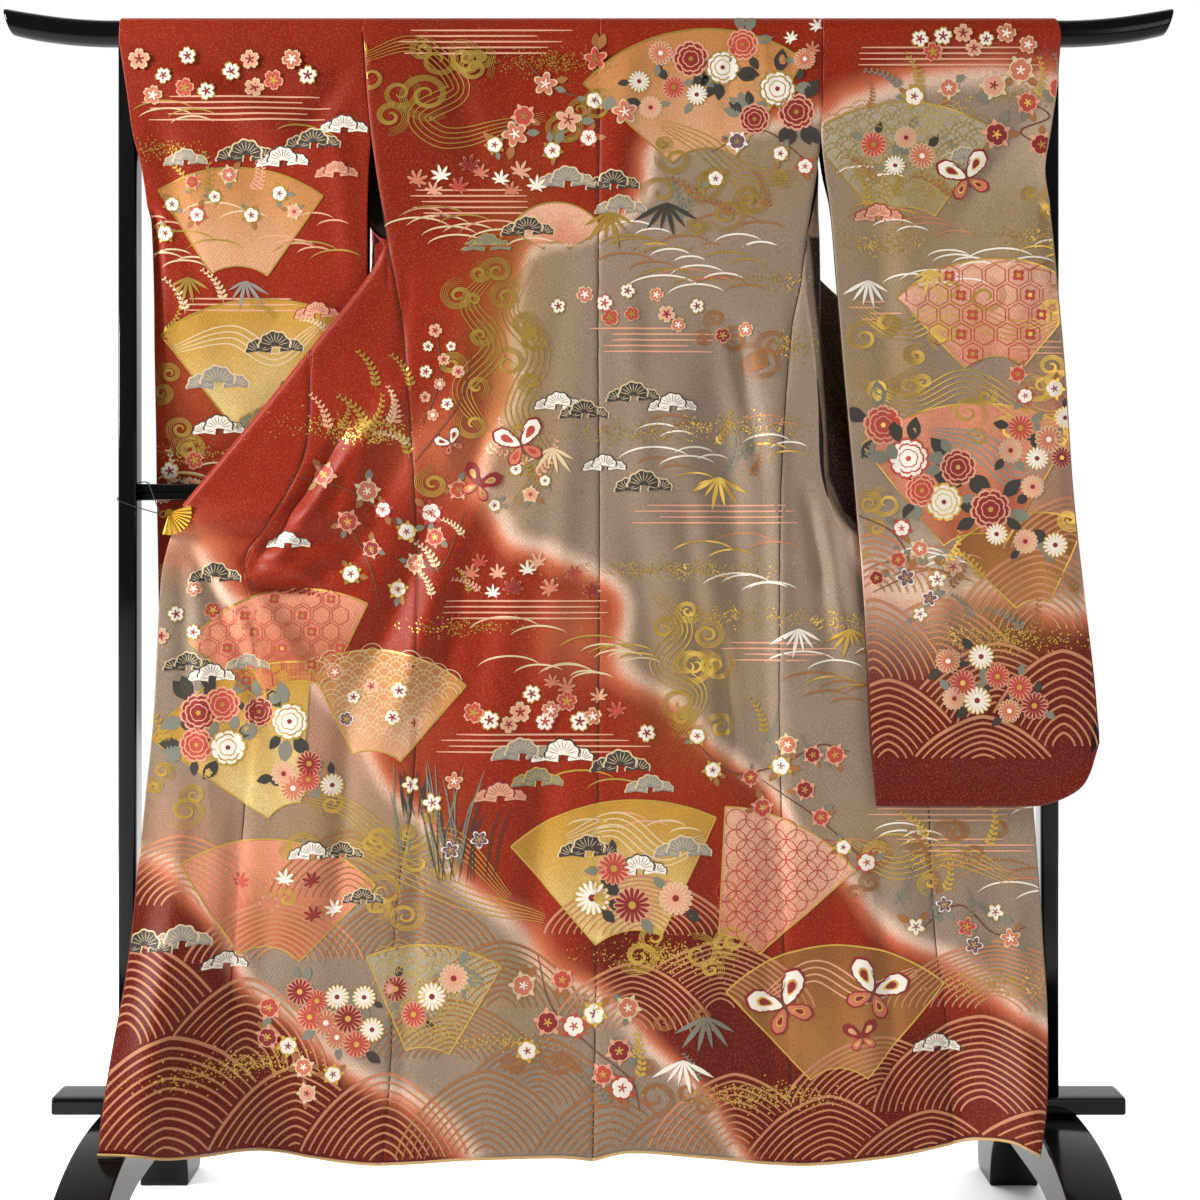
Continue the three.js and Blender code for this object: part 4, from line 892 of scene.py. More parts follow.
figured_silk = woven_silk("figured crepe silk, piece-dyed", "dye", 0.48, 0.04, 0.35, flecks=0.45)
painted_silk = woven_silk("silk painted with pigment", "pigment", 0.55, 0.1, 0.25)
lining_silk = woven_silk("plain silk lining, piece-dyed", "dye", 0.7, 0.02, 0.2)
leaf_gold = new_material("gold leaf and powder on silk", {"Base Color": rgba("#d9b154"),
    "Metallic": 0.85, "Roughness": 0.42})[0]
print("cloth materials:", [figured_silk.name, painted_silk.name, lining_silk.name, leaf_gold.name])

# %% Panels and sleeves as pieces
FLAT = {"back": (0.3, 1.64), "front": (0.24, 1.62), "okumi": (0.15, 1.33), "sleeve": (0.34, 2.16),
    "collar": (0.045, 1.74)}


def dress(piece, node, dye):
    """Dyes both faces of a cloth piece: the ground outside, the lining inside, whose near-black
    colour is a brown lining darkened as painted shade.
    """
    points = np.empty(len(piece.data.vertices) * 3, np.float32)
    piece.data.vertices.foreach_get("co", points)
    points = points.reshape(-1, 3).astype(float) / MM
    colours = dye(points[:, 0], points[:, 2])
    # the inside gets the lining dye, darkened as painted shade
    colours[len(points) // 2:] = DYE["lining"]
    paint(piece, "dye", colours)
    piece.data.materials.append(figured_silk)
    piece.data.materials.append(lining_silk)
    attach(piece, "root")
    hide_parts(node)


def report(name, piece):
    """Prints the cloth of a piece, which has two faces, beside the size it was cut to."""
    across, down = FLAT[name.split("_")[0]]
    cloth = sum(p.area for p in piece.data.polygons) / 2
    print(name, "cloth", round(cloth, 3), "m2, cut", round(across * down, 3), "m2")


cloths = {}
for name, (points, turn) in panels.items():
    piece = cloth_wall(name + "_silk", points, turn)
    dress(piece, name, dye_body)
    cloths[name] = piece

for side, points in sleeves.items():
    name = "sleeve_" + side
    piece = cloth_wall(name + "_silk", points, 1 if side == "left" else -1, loop=True)
    dress(piece, name, dye_sleeve(side))
    cloths[name] = piece

for name, piece in cloths.items():
    report(name, piece)

# %% [markdown]
# ## Collar and padded hem
# The collar is a narrow folded band that follows the neck behind the rail and runs down the
# inner edge of each front. The hem ends in a small padded roll (fuki), where the lining is
# brought round to the outside; it gives the skirt weight and shows as a thin cream line.

# %% Collar and hem rolls
COLLAR_REACH = {"left": ([1, 0.15, -0.1], [0.9, 0.1, -0.4], [0.55, 0.05, -0.8], 0.3),
    "right": ([-1, 0.15, -0.1], [0.1, 0.9, -0.4], [0.75, 0.1, 0.66], 1.5)}
COLLAR_WIDTH = 45.0
HEM_HEIGHT = 4.0
HEM_DEPTH = 3.4


def collar_side(side):
    """The sewn edge of one front from the neck down, and the way the band stands from it."""
    inner = front_marks(side, np.array([1.0]))[1:len(BEFORE) + 1, 0, :3]
    outer = okumi_marks(side, np.array([0.5, 1.0]))[:len(AFTER) - 1, 1, :3]
    path = np.concatenate([inner, outer])
    top, corner, end, apart = COLLAR_REACH[side]
    t = np.linspace(0, 1, len(path))[:, None]
    way = np.where(t < 0.4, np.array(top) + (np.array(corner) - top) * t / 0.4,
        np.array(corner) + (np.array(end) - corner) * (t - 0.4) / 0.6)
    return path, way, np.full(len(path), apart)


def neck_arch(side):
    """Half of the neckline behind the rail, and how the band stands from it."""
    parts = np.array(NECK_PARTS)
    x = at_height(CENTRE, RAIL_Z) * (1 - parts) + at_height(ARMHOLE[side], RAIL_Z) * parts
    lean = ((x - NECK_MIDDLE) / NECK_HALF) ** 3
    path = np.stack([x, np.full_like(x, float(at_height(FAR["left"], 1640))), neckline_at(x)], -1)
    return path, np.stack([-lean * 1.5, np.full_like(x, 0.1), -1 + np.abs(lean)], -1), np.full(len(x), 0.3)


def tube(name, rings):
    """Joins rings of points into a closed skin with a flat cap at each end."""
    count, around = rings.shape[:2]
    piece = new_mesh(name, np.zeros((0, 3)), np.zeros((0, 4), int))
    sides = grid_faces(count, around, loop_columns=True)
    caps = [list(range(around)), list(range((count - 1) * around, count * around))]
    first_area = np.cross(rings[0], np.roll(rings[0], -1, 0)).sum(0)
    if first_area @ (rings[1:].mean(1) - rings[0].mean(0)).sum(0) > 0:
        faces, caps = sides, [caps[0][::-1], caps[1]]
    else:
        faces, caps = sides[:, ::-1], [caps[0], caps[1][::-1]]
    mesh = piece.data
    mesh.clear_geometry()
    mesh.from_pydata((rings.reshape(-1, 3) * MM).tolist(), [], faces.tolist() + caps)
    mesh.polygons.foreach_set("use_smooth", [True] * len(faces) + [False] * 2)
    mesh.update()
    return piece


left, right = collar_side("left"), collar_side("right")
arch_left, arch_right = neck_arch("left"), neck_arch("right")
path, way, apart = (np.concatenate([left[i][::-1], arch_left[i][::-1], arch_right[i][1:],
    right[i]]) for i in range(3))
way = unit(way)
reach = apart[:, None] + np.array([0, 0.5, 1]) * COLLAR_WIDTH
band = path[:, None] + way[:, None] * reach[..., None]
band = refine_across(refine(band, CELL))
collar = cloth_wall("collar_silk", band, -1, wall=2.4)
dress(collar, "collar", dye_body)
report("collar", collar)

# %% Hem rolls
hem_silk = new_material("cream hem roll of plain silk over wadding", {"Base Color": rgba("#c39a5c"),
    "Roughness": 0.5, "Sheen Weight": 0.2})[0]
around = np.linspace(0, 2 * np.pi, 12, endpoint=False)
ring = np.stack([np.zeros(12), HEM_DEPTH / 2 * np.cos(around), HEM_HEIGHT / 2 * np.sin(around)], -1)
for name, (points, _) in panels.items():
    rings = points[-1][:, None] + ring - np.array([0, 0, HEM_HEIGHT / 2 + 0.3])
    roll = tube(name + "_hem_roll", rings)
    roll.data.materials.append(hem_silk)
    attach(roll, "root")
    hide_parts("hem_" + name)
print("hem rolls:", len(panels), "of", HEM_HEIGHT, "by", HEM_DEPTH, "mm")

# %% [markdown]
# ## The stand
# A kimono stand (iko) is a frame of black lacquered wood: two feet, two posts, a base beam, a
# middle rail and a top rail whose ends sweep up. Each is an outline carried along a path, and
# the bevels are in the outline, so the edges catch a thin line of light as lacquer does.

# %% Black lacquer
lacquer, tree, surface = new_material("black urushi lacquer on wood, polished",
    {"Base Color": rgba("#0b0a0b"), "Roughness": 0.13, "IOR": 1.28})
place = add_node(tree, "TexCoord").outputs["Object"]
dust = add_node(tree, "TexNoise", {"Vector": place, "Scale": 35.0, "Detail": 2.0})
waver = add_node(tree, "Bump", {"Height": dust, "Strength": 0.05, "Distance": 0.002})
tree.links.new(waver.outputs["Normal"], surface.inputs["Normal"])


def lacquered(piece, node):
    """Lacquers a piece of the stand and puts it in its solid's place."""
    piece.data.materials.append(lacquer)
    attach(piece, "root")
    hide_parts(node)
    return piece


def rounded(half_across, half_up, power, count=48):
    """A rectangle with rounded corners: the powers of cosine and sine set how square it is."""
    a = np.linspace(0, 2 * np.pi, count, endpoint=False)
    squared = lambda c: np.sign(c) * np.abs(c) ** power
    return np.stack([half_across * squared(np.cos(a)), half_up * squared(np.sin(a))], -1)


print("the stand is", lacquer.name)

# %% Top rail
RAIL_HALF = 812.0
SWEEP_FROM = 660.0
SWEEP_UP = 17.0
section = rounded(18, 18, SQUARE, 64)
ends = np.array([SWEEP_FROM, 680, 700, 715, 730, 745, 760, 775, 790, 800, 808, 810.5, 811.6, RAIL_HALF])
x = np.concatenate([-ends[::-1], ends])
out = np.maximum(0, np.abs(x) - SWEEP_FROM) / (RAIL_HALF - SWEEP_FROM)
soften = 1 - 0.11 * np.clip((np.abs(x) - 808) / 4, 0, 1) ** 3
slant = np.sign(x) * 0.28 * smooth((out - 0.7) / 0.3)
rings = np.stack([x[:, None] + slant[:, None] * section[None, :, 1], section[None, :, 0] * soften[:, None],
    RAIL_Z + (SWEEP_UP * out**2)[:, None] + section[None, :, 1] * soften[:, None]], -1)
lacquered(tube("top_rail_lacquered", rings), "top_rail")
print("top rail, mm:", 2 * RAIL_HALF, "long, ends swept up by", SWEEP_UP)

# %% Posts, base beam and middle rail
POST_X = 642.0


def bar(name, node, section, stations, axis, place):
    """Carries a section along X or Z. Stations are (distance, part of full size)."""
    rings = []
    for distance, part in stations:
        a, b = section[:, 0] * part, section[:, 1] * part
        along_axis = np.full(len(a), float(distance))
        rings.append(np.stack([along_axis, a, b] if axis == "x" else [a, b, along_axis], -1) + place)
    return lacquered(tube(name, np.array(rings)), node)


for node, x in (("post_left", -POST_X), ("post_right", POST_X)):
    bar(node + "_lacquered", node, rounded(13, 18, 0.25), [(201.3, 1), (1000, 1), (1663, 1)], "z",
        np.array([x, 0, 0]))
soft_end = lambda half: [(-half, 0.93), (-half + 0.6, 0.965), (-half + 2, 0.99), (-half + 4, 1),
    (half - 4, 1), (half - 2, 0.99), (half - 0.6, 0.965), (half, 0.93)]
bar("base_beam_lacquered", "base_beam", rounded(35, 12.85, 0.3), soft_end(743), "x",
    np.array([0, 0, 188.15]))
MOULDING = np.array([(13, 2), (13, 8), (12.4, 9.8), (11, 11), (6, 11.5), (-6, 11.5), (-11, 11),
    (-12.4, 9.8), (-13, 8), (-13, 2), (-12, 0.6), (-10.5, 0), (-10.5, -2), (-11.6, -3), (-12, -4),
    (-12, -8), (-11, -10.4), (-9, -11.5), (9, -11.5), (11, -10.4), (12, -8), (12, -4), (11.6, -3),
    (10.5, -2), (10.5, 0), (12, 0.6)], float)
bar("mid_rail_lacquered", "mid_rail", MOULDING, [(-628.7, 1), (0, 1), (628.7, 1)], "x",
    np.array([0, 0, 1039.5]))

print("posts, mm apart:", 2 * POST_X)

# %% Feet
FOOT_SPAN = 300.0
FOOT_TOP = 175.0
FOOT_DROP = 72.0
ARCH = (205.0, 104.0)


def foot_outline():
    """A low curve over the top, a rounded toe at each end and an arch underneath."""
    y = np.linspace(-288, 288, 61)
    top = np.stack([y, FOOT_TOP - FOOT_DROP * np.abs(y / FOOT_SPAN) ** 3], -1)
    tip = FOOT_TOP - FOOT_DROP
    toe = along([(290, tip + 2), (298, tip - 17), (300, tip - 34), (298.5, 40), (296, 12), (293, 4),
        (284, 0)], np.linspace(0, 1, 20))
    under = ARCH[0] * np.cos(np.linspace(0, np.pi, 61)[1:-1])
    arch = np.stack([under, ARCH[1] * np.sqrt(1 - np.abs(under / ARCH[0]) ** 5)], -1)
    ends = np.array([(ARCH[0], 0)])
    return np.concatenate([top, toe, ends, arch, -ends, (toe * [-1, 1])[::-1]])


FOOT_HALF_WIDTH = 36.0
BEVEL = 3.0


def foot(node, x):
    """The outline carried across, drawn in along its own normals at both faces for the bevel."""
    outline = foot_outline()
    tangent = np.roll(outline, -1, 0) - np.roll(outline, 1, 0)
    inward = -unit(turned_left(tangent))
    turn = np.radians([0, 22, 45, 67, 90])
    stations = [(-FOOT_HALF_WIDTH + BEVEL * (1 - np.sin(a)), BEVEL * (1 - np.cos(a))) for a in turn[::-1]]
    stations += [(-s, inset) for s, inset in stations[::-1]]
    rings = [np.stack([np.full(len(outline), x + s), outline[:, 0] + inward[:, 0] * inset,
        np.maximum(outline[:, 1] + inward[:, 1] * inset, 0)], -1) for s, inset in stations]
    return lacquered(tube(node + "_lacquered", np.array(rings)), node)


foot("foot_left", -POST_X)
foot("foot_right", POST_X)
print("foot, millimetres:", 2 * FOOT_HALF_WIDTH, "wide,", 2 * FOOT_SPAN, "long,", FOOT_TOP, "high")

# %% [markdown]
# ## Fan clip and thread
# The corner of the okumi is drawn out and held by a gilt clip in the shape of an open folding
# fan; a dark silk thread ties it to the post. Both are taken over from the solids, since they
# are small and plain, and get their metal and their thread here.

# %% Gilt and thread
gilt = new_material("gilt brass, stamped", {"Base Color": rgba("#d8a53f"), "Metallic": 1.0,
    "Roughness": 0.3})[0]
silk_thread = new_material("black twisted silk thread", {"Base Color": rgba("#1b1715"),
    "Roughness": 0.7})[0]
for name, finish in (("fan_clip", gilt), ("clip_thread", silk_thread)):
    node = frame["nodes"][name]
    node.data.materials.clear()
    node.data.materials.append(finish)
    print(name, "is", finish.name)

# %% [markdown]
# ## Painting on silk
# The motifs are painted with resist and pigment (yuzen) and touched with gold leaf, after the
# pieces are tacked together, so a motif runs on across a seam. Here each motif is a flat shape
# in the plane of the front view, then laid on the cloth a fraction of a millimetre above it.
# A shape keeps its points, its faces, one pigment for each face and how high it lies.

# %% Pigments and the canvas
PIGMENTS = {"white": "#efe3d2", "cream": "#d9be93", "peach": "#d99a7a", "copper": "#bd7c55",
    "amber": "#9a6331", "salmon": "#c66f50", "rose": "#b5412f", "crimson": "#861a16", "wine": "#571413",
    "ochre": "#9c6430", "pine": "#352f27", "sage": "#7b7866", "slate": "#8d867b", "brown": "#6e3d24",
    # the seam pigment is painted shadow: the dark in a seam's groove
    "violet": "#6b4c58", "leafgold": "#cfa650", "seam": "#2a0f0b"}
PIGMENT_NAMES = list(PIGMENTS)
canvas = {"body": [], "left": [], "right": []}
leaves = {"body": [], "left": [], "right": []}
random = np.random.default_rng(7)


def lay(on, points, faces, pigment, lift):
    """Keeps a flat shape; pigment is one name, or an array with a number for each face."""
    tone = np.full(len(faces), PIGMENT_NAMES.index(pigment)) if isinstance(pigment, str) else pigment
    canvas[on].append((np.asarray(points, float), np.asarray(faces), tone, lift))


def disc(on, centre, radius, outline, bands, lift, turn=0.0, count=40):
    """A shape round a middle. Its rim at angle a is radius times outline(a); bands are pairs of
    a part of that radius and a pigment, from the middle outwards."""
    a = np.linspace(0, 2 * np.pi, count, endpoint=False)
    rim = ray(a + turn) * (outline(a) * radius)[:, None]
    parts = np.array([part for part, _ in bands])
    points = np.concatenate([[[0, 0]], (parts[:, None, None] * rim).reshape(-1, 2)]) + centre
    i = np.arange(0, count, 2)
    middle = np.stack([np.zeros_like(i), 1 + i, 2 + i, 1 + (i + 2) % count], -1)
    rings = grid_faces(len(bands), count, loop_columns=True, first=1)[:, ::-1]
    tones = [PIGMENT_NAMES.index(name) for _, name in bands]
    tone = np.concatenate([np.full(len(middle), tones[0]), np.repeat(tones[1:], count)])
    lay(on, points, np.concatenate([middle, rings]), tone, lift)


def stroke(on, path, width, pigment, lift, taper=0.6):
    """A brush line: half its width to each side of a path, narrower towards both ends."""
    path = np.asarray(path, float)
    square = unit(turned_left(np.gradient(path, axis=0)))
    t = np.linspace(-1, 1, len(path))
    half = (width / 2 * (1 - taper * t**4))[:, None]
    points = np.concatenate([path + square * half, path - square * half])
    i, n = np.arange(len(path) - 1), len(path)
    lay(on, points, np.stack([i, i + n, i + n + 1, i + 1], -1), pigment, lift)


def ribbon(on, points, width, pigment, lift, taper=0.6, step=6.0):
    """A brush line along a rounded path through a few points."""
    path = along(points, np.linspace(0, 1, max(3, int(distances(points)[-1] / step) + 1)))
    stroke(on, path, width, pigment, lift, taper)


print(len(PIGMENTS), "pigments")

# %% Outlines of flowers and leaves
def lobed(count, depth, sharp=1.0, notch=0.0):
    """Petals: the rim swings in between them by depth; a notch nicks each petal's tip."""
    def outline(a):
        wave = np.abs(np.cos(a * count / 2)) ** sharp
        return (1 - depth) + depth * wave - notch * np.exp(-((1 - np.abs(np.cos(a * count / 2))) / 0.02))
    return outline


def maple_outline(a):
    """Seven pointed lobes of unequal length round the stalk."""
    lobes = np.radians([90, 45, 135, 2, 178, -38, 218])
    lengths = np.array([1.0, 0.95, 0.95, 0.8, 0.8, 0.5, 0.5])
    away = np.abs((a[:, None] - lobes + np.pi) % (2 * np.pi) - np.pi)
    return np.max(lengths * np.clip(1 - away / 0.36, 0, 1) ** 0.8, axis=1) * 0.75 + 0.25


TONES = {"white": ("white", "leafgold", "crimson"), "peach": ("peach", "cream", "crimson"),
    "salmon": ("salmon", "cream", "white"), "rose": ("rose", "peach", "leafgold"),
    "red": ("crimson", "peach", "leafgold"), "violet": ("violet", "white", "leafgold"),
    "blush": ("white", "rose", "rose")}


def flower(on, kind, x, z, r, tone):
    """One flower head, in layers: rim, petals, then the middle."""
    petal, rim, heart = TONES[tone]
    turn = random.uniform(0, 6)
    at = (x, z)
    if kind == "cherry":
        disc(on, at, r, lobed(5, 0.38, 0.7, 0.14), [(0.5, petal), (0.86, petal), (1, rim)], 0.9, turn)
        disc(on, at, r * 0.5, lobed(5, 0.7, 2.5), [(0.5, heart), (1, heart)], 1.1, turn)
    elif kind == "plum":
        disc(on, at, r * 1.35, lobed(5, 0.5, 5), [(0.6, rim), (0.9, rim), (1, rim)], 0.85, turn + 0.6)
        disc(on, at, r, lobed(5, 0.2, 0.5), [(0.5, petal), (0.88, petal), (1, rim)], 0.97, turn)
        disc(on, at, r * 0.42, lobed(5, 0.75, 2.5), [(0.5, heart), (1, heart)], 1.15, turn)
    elif kind == "chrysanthemum":
        disc(on, at, r, lobed(16, 0.22, 0.5), [(0.5, rim), (1, rim)], 0.85, turn, 96)
        disc(on, at, r * 0.95, lobed(16, 0.6, 0.6), [(0.45, petal), (1, petal)], 0.97, turn, 96)
        disc(on, at, r * 0.2, lobed(6, 0.0), [(1, heart)], 1.15, turn, 16)
    elif kind == "peony":
        for part, petals, level in ((1.0, 9, 0.85), (0.74, 7, 1.0), (0.46, 5, 1.15)):
            disc(on, at, r * part, lobed(petals, 0.16, 0.6, 0.05), [(0.5, petal), (0.88, petal), (1, rim)],
                level, turn + part * 5, 72)
        disc(on, at, r * 0.14, lobed(5, 0.3), [(1, heart)], 1.28, turn, 16)
    elif kind == "maple":
        lean = random.uniform(-0.6, 0.6)
        disc(on, at, r * 1.1, maple_outline, [(0.5, rim), (1, rim)], 0.85, lean, 84)
        disc(on, at, r, maple_outline, [(0.5, petal), (1, petal)], 0.97, lean, 84)
    elif kind == "bell":
        disc(on, at, r, lobed(5, 0.5, 1.2), [(0.5, petal), (0.85, petal), (1, rim)], 0.9, turn)
        disc(on, at, r * 0.45, lobed(5, 0.8, 4), [(1, heart)], 1.1, turn)


def leaf(on, x, z, length, angle, pigment, width, lift):
    """A pointed leaf: two bowed sides that meet at the stalk and the tip."""
    t = np.linspace(0, 1, 7)
    along_leaf = np.outer(t, ray(angle)) * length
    half = np.outer(np.sin(np.pi * t), ray(angle + np.pi / 2)) * length * width / 2
    points = np.concatenate([along_leaf + half, along_leaf - half]) + (x, z)
    i = np.arange(6)
    lay(on, points, np.stack([i, i + 7, i + 8, i + 1], -1), pigment, lift)


def leaves_round(on, x, z, r, pigments, count):
    """Leaves that stand out from behind a flower."""
    for angle in random.uniform(0, 2 * np.pi, count):
        foot = ray(angle) * r * 0.7 + (x, z)
        leaf(on, *foot, r * random.uniform(0.8, 1.2), angle, pigments[random.integers(len(pigments))],
            0.55, 0.7)


print("flower tones:", list(TONES))

# %% Pines
def tuft(on, x, z, w, tone, lift):
    """One pad of pine needles: half a scalloped round with lines that spread from its foot."""
    base, rim = tone
    a = np.linspace(-0.15, np.pi + 0.15, 31)
    scallop = 0.88 + 0.12 * np.abs(np.sin(a * 4.5))
    rim_line = ray(a) * scallop[:, None] * (w / 2, w * 0.46)
    parts = np.array([0.03, 0.35, 0.7, 0.9, 1.0])
    points = (parts[:, None, None] * rim_line).reshape(-1, 2) + (x, z)
    tones = [PIGMENT_NAMES.index(name) for name in (base, base, base, rim)]
    lay(on, points, grid_faces(5, 31)[:, ::-1], np.repeat(tones, 30), lift)
    for angle in np.linspace(0.25, np.pi - 0.25, 9):
        way = ray(angle) * (w / 2, w * 0.46)
        ribbon(on, np.array([(x, z), (x, z)]) + np.outer((0.25, 0.82), way), 0.9, rim, lift + 0.12)


PINE_TONES = {"dark": ("pine", "cream"), "grey": ("slate", "cream"), "white": ("white", "pine"),
    "rosy": ("peach", "crimson"), "sage": ("sage", "leafgold")}


def pine(on, x, z, w, tone):
    """Three pads of needles, the middle one in front."""
    w = w * 1.2
    tuft(on, x - w * 0.3, z - w * 0.1, w * 0.55, PINE_TONES[tone], 0.7)
    tuft(on, x + w * 0.32, z - w * 0.08, w * 0.5, PINE_TONES[tone], 0.7)
    tuft(on, x, z, w * 0.66, PINE_TONES[tone], 0.95)


print("pine tones:", list(PINE_TONES))


# %% Grass, mist and water
def swell(on, x, z, w, pigment):
    """One thin arc, thick in the middle, as a blade of grass or the back of a wave."""
    a = np.radians(np.linspace(158, 32, 12))
    ribbon(on, ray(a) * (w / 2, w * 0.24) + (x, z), 2.5, pigment, 0.5, 0.95)


def swells(on, x0, x1, z0, z1, count, pigments):
    """Arcs scattered over a field, in pairs."""
    for _ in range(count):
        x, z, w = random.uniform(x0, x1), random.uniform(z0, z1), random.uniform(62, 112)
        tone = pigments[random.integers(len(pigments))]
        swell(on, x, z, w, tone)
        swell(on, x + w * 0.42, z - 7, w * 0.8, tone)


MIST_GAP = 8.0


def mist(on, x0, x1, z, lines):
    """Bands of mist: level lines side by side that begin and end unevenly."""
    for k in range(lines):
        start, end = x0 + random.uniform(0, 45), x1 - random.uniform(0, 60)
        level = z - k * MIST_GAP
        middle = (start + end) / 2
        ribbon(on, [(start, level), (middle, level), (end, level)], 2.6, "peach", 0.5, 0.5, step=9)


def whirl(on, x, z, r, turns, hand, pigment="leafgold", lines=5, start=0.0):
    """Eddies: lines side by side that wind inwards."""
    t = np.linspace(0, 1, int(18 * turns) + 6)
    a = start + hand * t * turns * 2 * np.pi
    for k in range(lines):
        radius = (r - k * 3.0) * (1 - 0.86 * t ** 0.9)
        path = radius[:, None] * ray(a) * (1, 0.85) + (x, z)
        stroke(on, path, 1.1, pigment, 0.55, 0.7)


def stream(on, path, lines, gap, pigment="leafgold", width=1.5):
    """Running water: lines beside one another along a winding path, closer at its ends."""
    dense = along(path, np.linspace(0, 1, int(distances(path)[-1] / 7) + 3))
    square = unit(turned_left(np.gradient(dense, axis=0)))
    t = np.linspace(0, 1, len(dense))
    for k in range(lines):
        away = (k - (lines - 1) / 2) * gap * (0.35 + 0.65 * np.sin(np.pi * t))
        stroke(on, dense + square * away[:, None], width, pigment, 0.55, 0.7)


print("lines of mist are", MIST_GAP, "mm apart")


# %% Gold dust and butterflies
def dust(on, x, z, across, up, count):
    """Gold leaf flakes, denser towards the middle of a drift; 1 to 3 mm each."""
    aside = random.normal(0, 1, count) * across / 2
    above = random.normal(0, 1, count) * up / 2
    centre = np.stack([x + aside, z + above], -1)
    size = random.uniform(0.5, 1.6, count)[:, None, None]
    angle = random.uniform(0, 1.5, count)[:, None] + np.arange(4) * np.pi / 2
    corners = centre[:, None] + size * ray(angle)
    lay(on, corners.reshape(-1, 2), np.arange(count * 4).reshape(-1, 4), "leafgold", 0.62)


def butterfly(on, x, z, size, lean, tone):
    """Two large and two small wings, a body and two feelers."""
    petal, rim, heart = TONES[tone]
    wings = ((0.75, 1.0, petal), (2.4, 1.0, petal), (-0.75, 0.7, "salmon"), (-2.4, 0.7, "salmon"))
    for angle, part, own in wings:
        way = ray(angle + lean)
        drop = lambda a: 1 / np.hypot(np.cos(a) / 1.15, np.sin(a) / (0.62 + 0.16 * np.cos(a)))
        at = np.array([x, z]) + way * size * part * 0.62
        disc(on, at, size * part * 0.56, lambda a: drop(a) - 0.07 * np.abs(np.sin(5 * a)),
            [(0.3, heart), (0.42, rim), (0.84, own), (1, "crimson")], 1.3, angle + lean, 48)
    nose = ray(lean + np.pi / 2)
    at = np.array([x, z])
    ribbon(on, [at - nose * size * 0.35, at, at + nose * size * 0.3], size * 0.1, "brown", 1.5)
    for bend in (-0.5, 0.5):
        tip = ray(lean + np.pi / 2 + bend)
        ribbon(on, [at + nose * size * 0.25, at + tip * size * 0.75], 1.0, "wine", 1.5)


# %% Bamboo, reeds and sprigs
DOWNWARDS = -1.57


def bamboo(on, x, z, size, pigment):
    """Six narrow leaves that hang in a fan from one point."""
    for k in range(6):
        leaf(on, x, z, size * random.uniform(0.6, 0.95), DOWNWARDS + (k - 2.5) * 0.42, pigment, 0.13, 0.75)


def reeds(on, x, z, height, count, pigment):
    """Blades that rise from one place and lean apart."""
    for _ in range(count):
        foot = x + random.uniform(-1, 1) * height * 0.3
        tip = foot + random.uniform(-0.25, 0.25) * height
        ribbon(on, [(foot, z), ((foot + tip) / 2 - 3, z + height * 0.5), (tip,
            z + height * random.uniform(0.7, 1))], 2.0, pigment, 0.7, 0.9)


def sprig(on, x, z, length, angle, pigment):
    """A bowed stem with small leaves in pairs, smaller towards the tip."""
    t = np.linspace(0, 1, 9)
    bend = angle + 0.5 * (t - 0.3)
    path = np.array([x, z]) + length * t[:, None] * ray(bend)
    stroke(on, path, 1.1, pigment, 0.66, 0.5)
    for k in range(1, 9):
        for side in (-0.9, 0.9):
            size = length * 0.16 * (1.15 - t[k] * 0.6)
            leaf(on, *path[k], size, bend[k] + side, pigment, 0.5, 0.7)


print("bamboo leaves point to", DOWNWARDS, "radians")


# %% Waves
def waves(on, hills, gap, width, pigment, floor_line):
    """Hills of water: each is a set of half ovals with slanting sides, one inside the other. A
    hill hides those listed before it, so its neighbours' lines stop at its crest."""
    hills = np.array(hills, float)
    for k, (cx, cz, half, up) in enumerate(hills):
        for ring in np.arange(0, half * 0.86, gap):
            part = 1 - ring / half
            count = max(8, int(np.pi * half * part / 5))
            a = np.linspace(0, np.pi, count)
            bow = lambda c: np.sign(c) * np.abs(c) ** 1.3
            p = np.stack([cx + half * part * bow(np.cos(a)), cz + up * part * bow(np.sin(a))], -1)
            seen = p[:, 1] > floor_line(p[:, 0])
            for ox, oz, other, rise in hills[k + 1:]:
                across, up_there = np.abs((p - (ox, oz)) / (other + 2, rise + 2)).T
                inside = across ** 1.54 + up_there ** 1.54 < 1
                seen &= ~(inside & (p[:, 1] > oz - 4))
            edges = np.flatnonzero(np.diff(np.concatenate([[0], seen.astype(int), [0]])))
            for start, stop in zip(edges[::2], edges[1::2]):
                if stop - start > 2:
                    stroke(on, p[start:stop], width * (1.5 if ring == 0 else 1), pigment, 0.5, 0.35)


# %% Fans and their patterns
FAN_TINTS = {name: (linear(a), linear(b)) for name, (a, b) in {"salmon": ("#d4896a", "#b5623f"),
    "gold": ("#b98a35", "#d6b877"), "brown": ("#8f5a2d", "#a8733f"), "peach": ("#deA78a", "#cf8768"),
    "grey": ("#a79a80", "#a08a5e"), "amber": ("#bd7f46", "#cf9a72")}.items()}


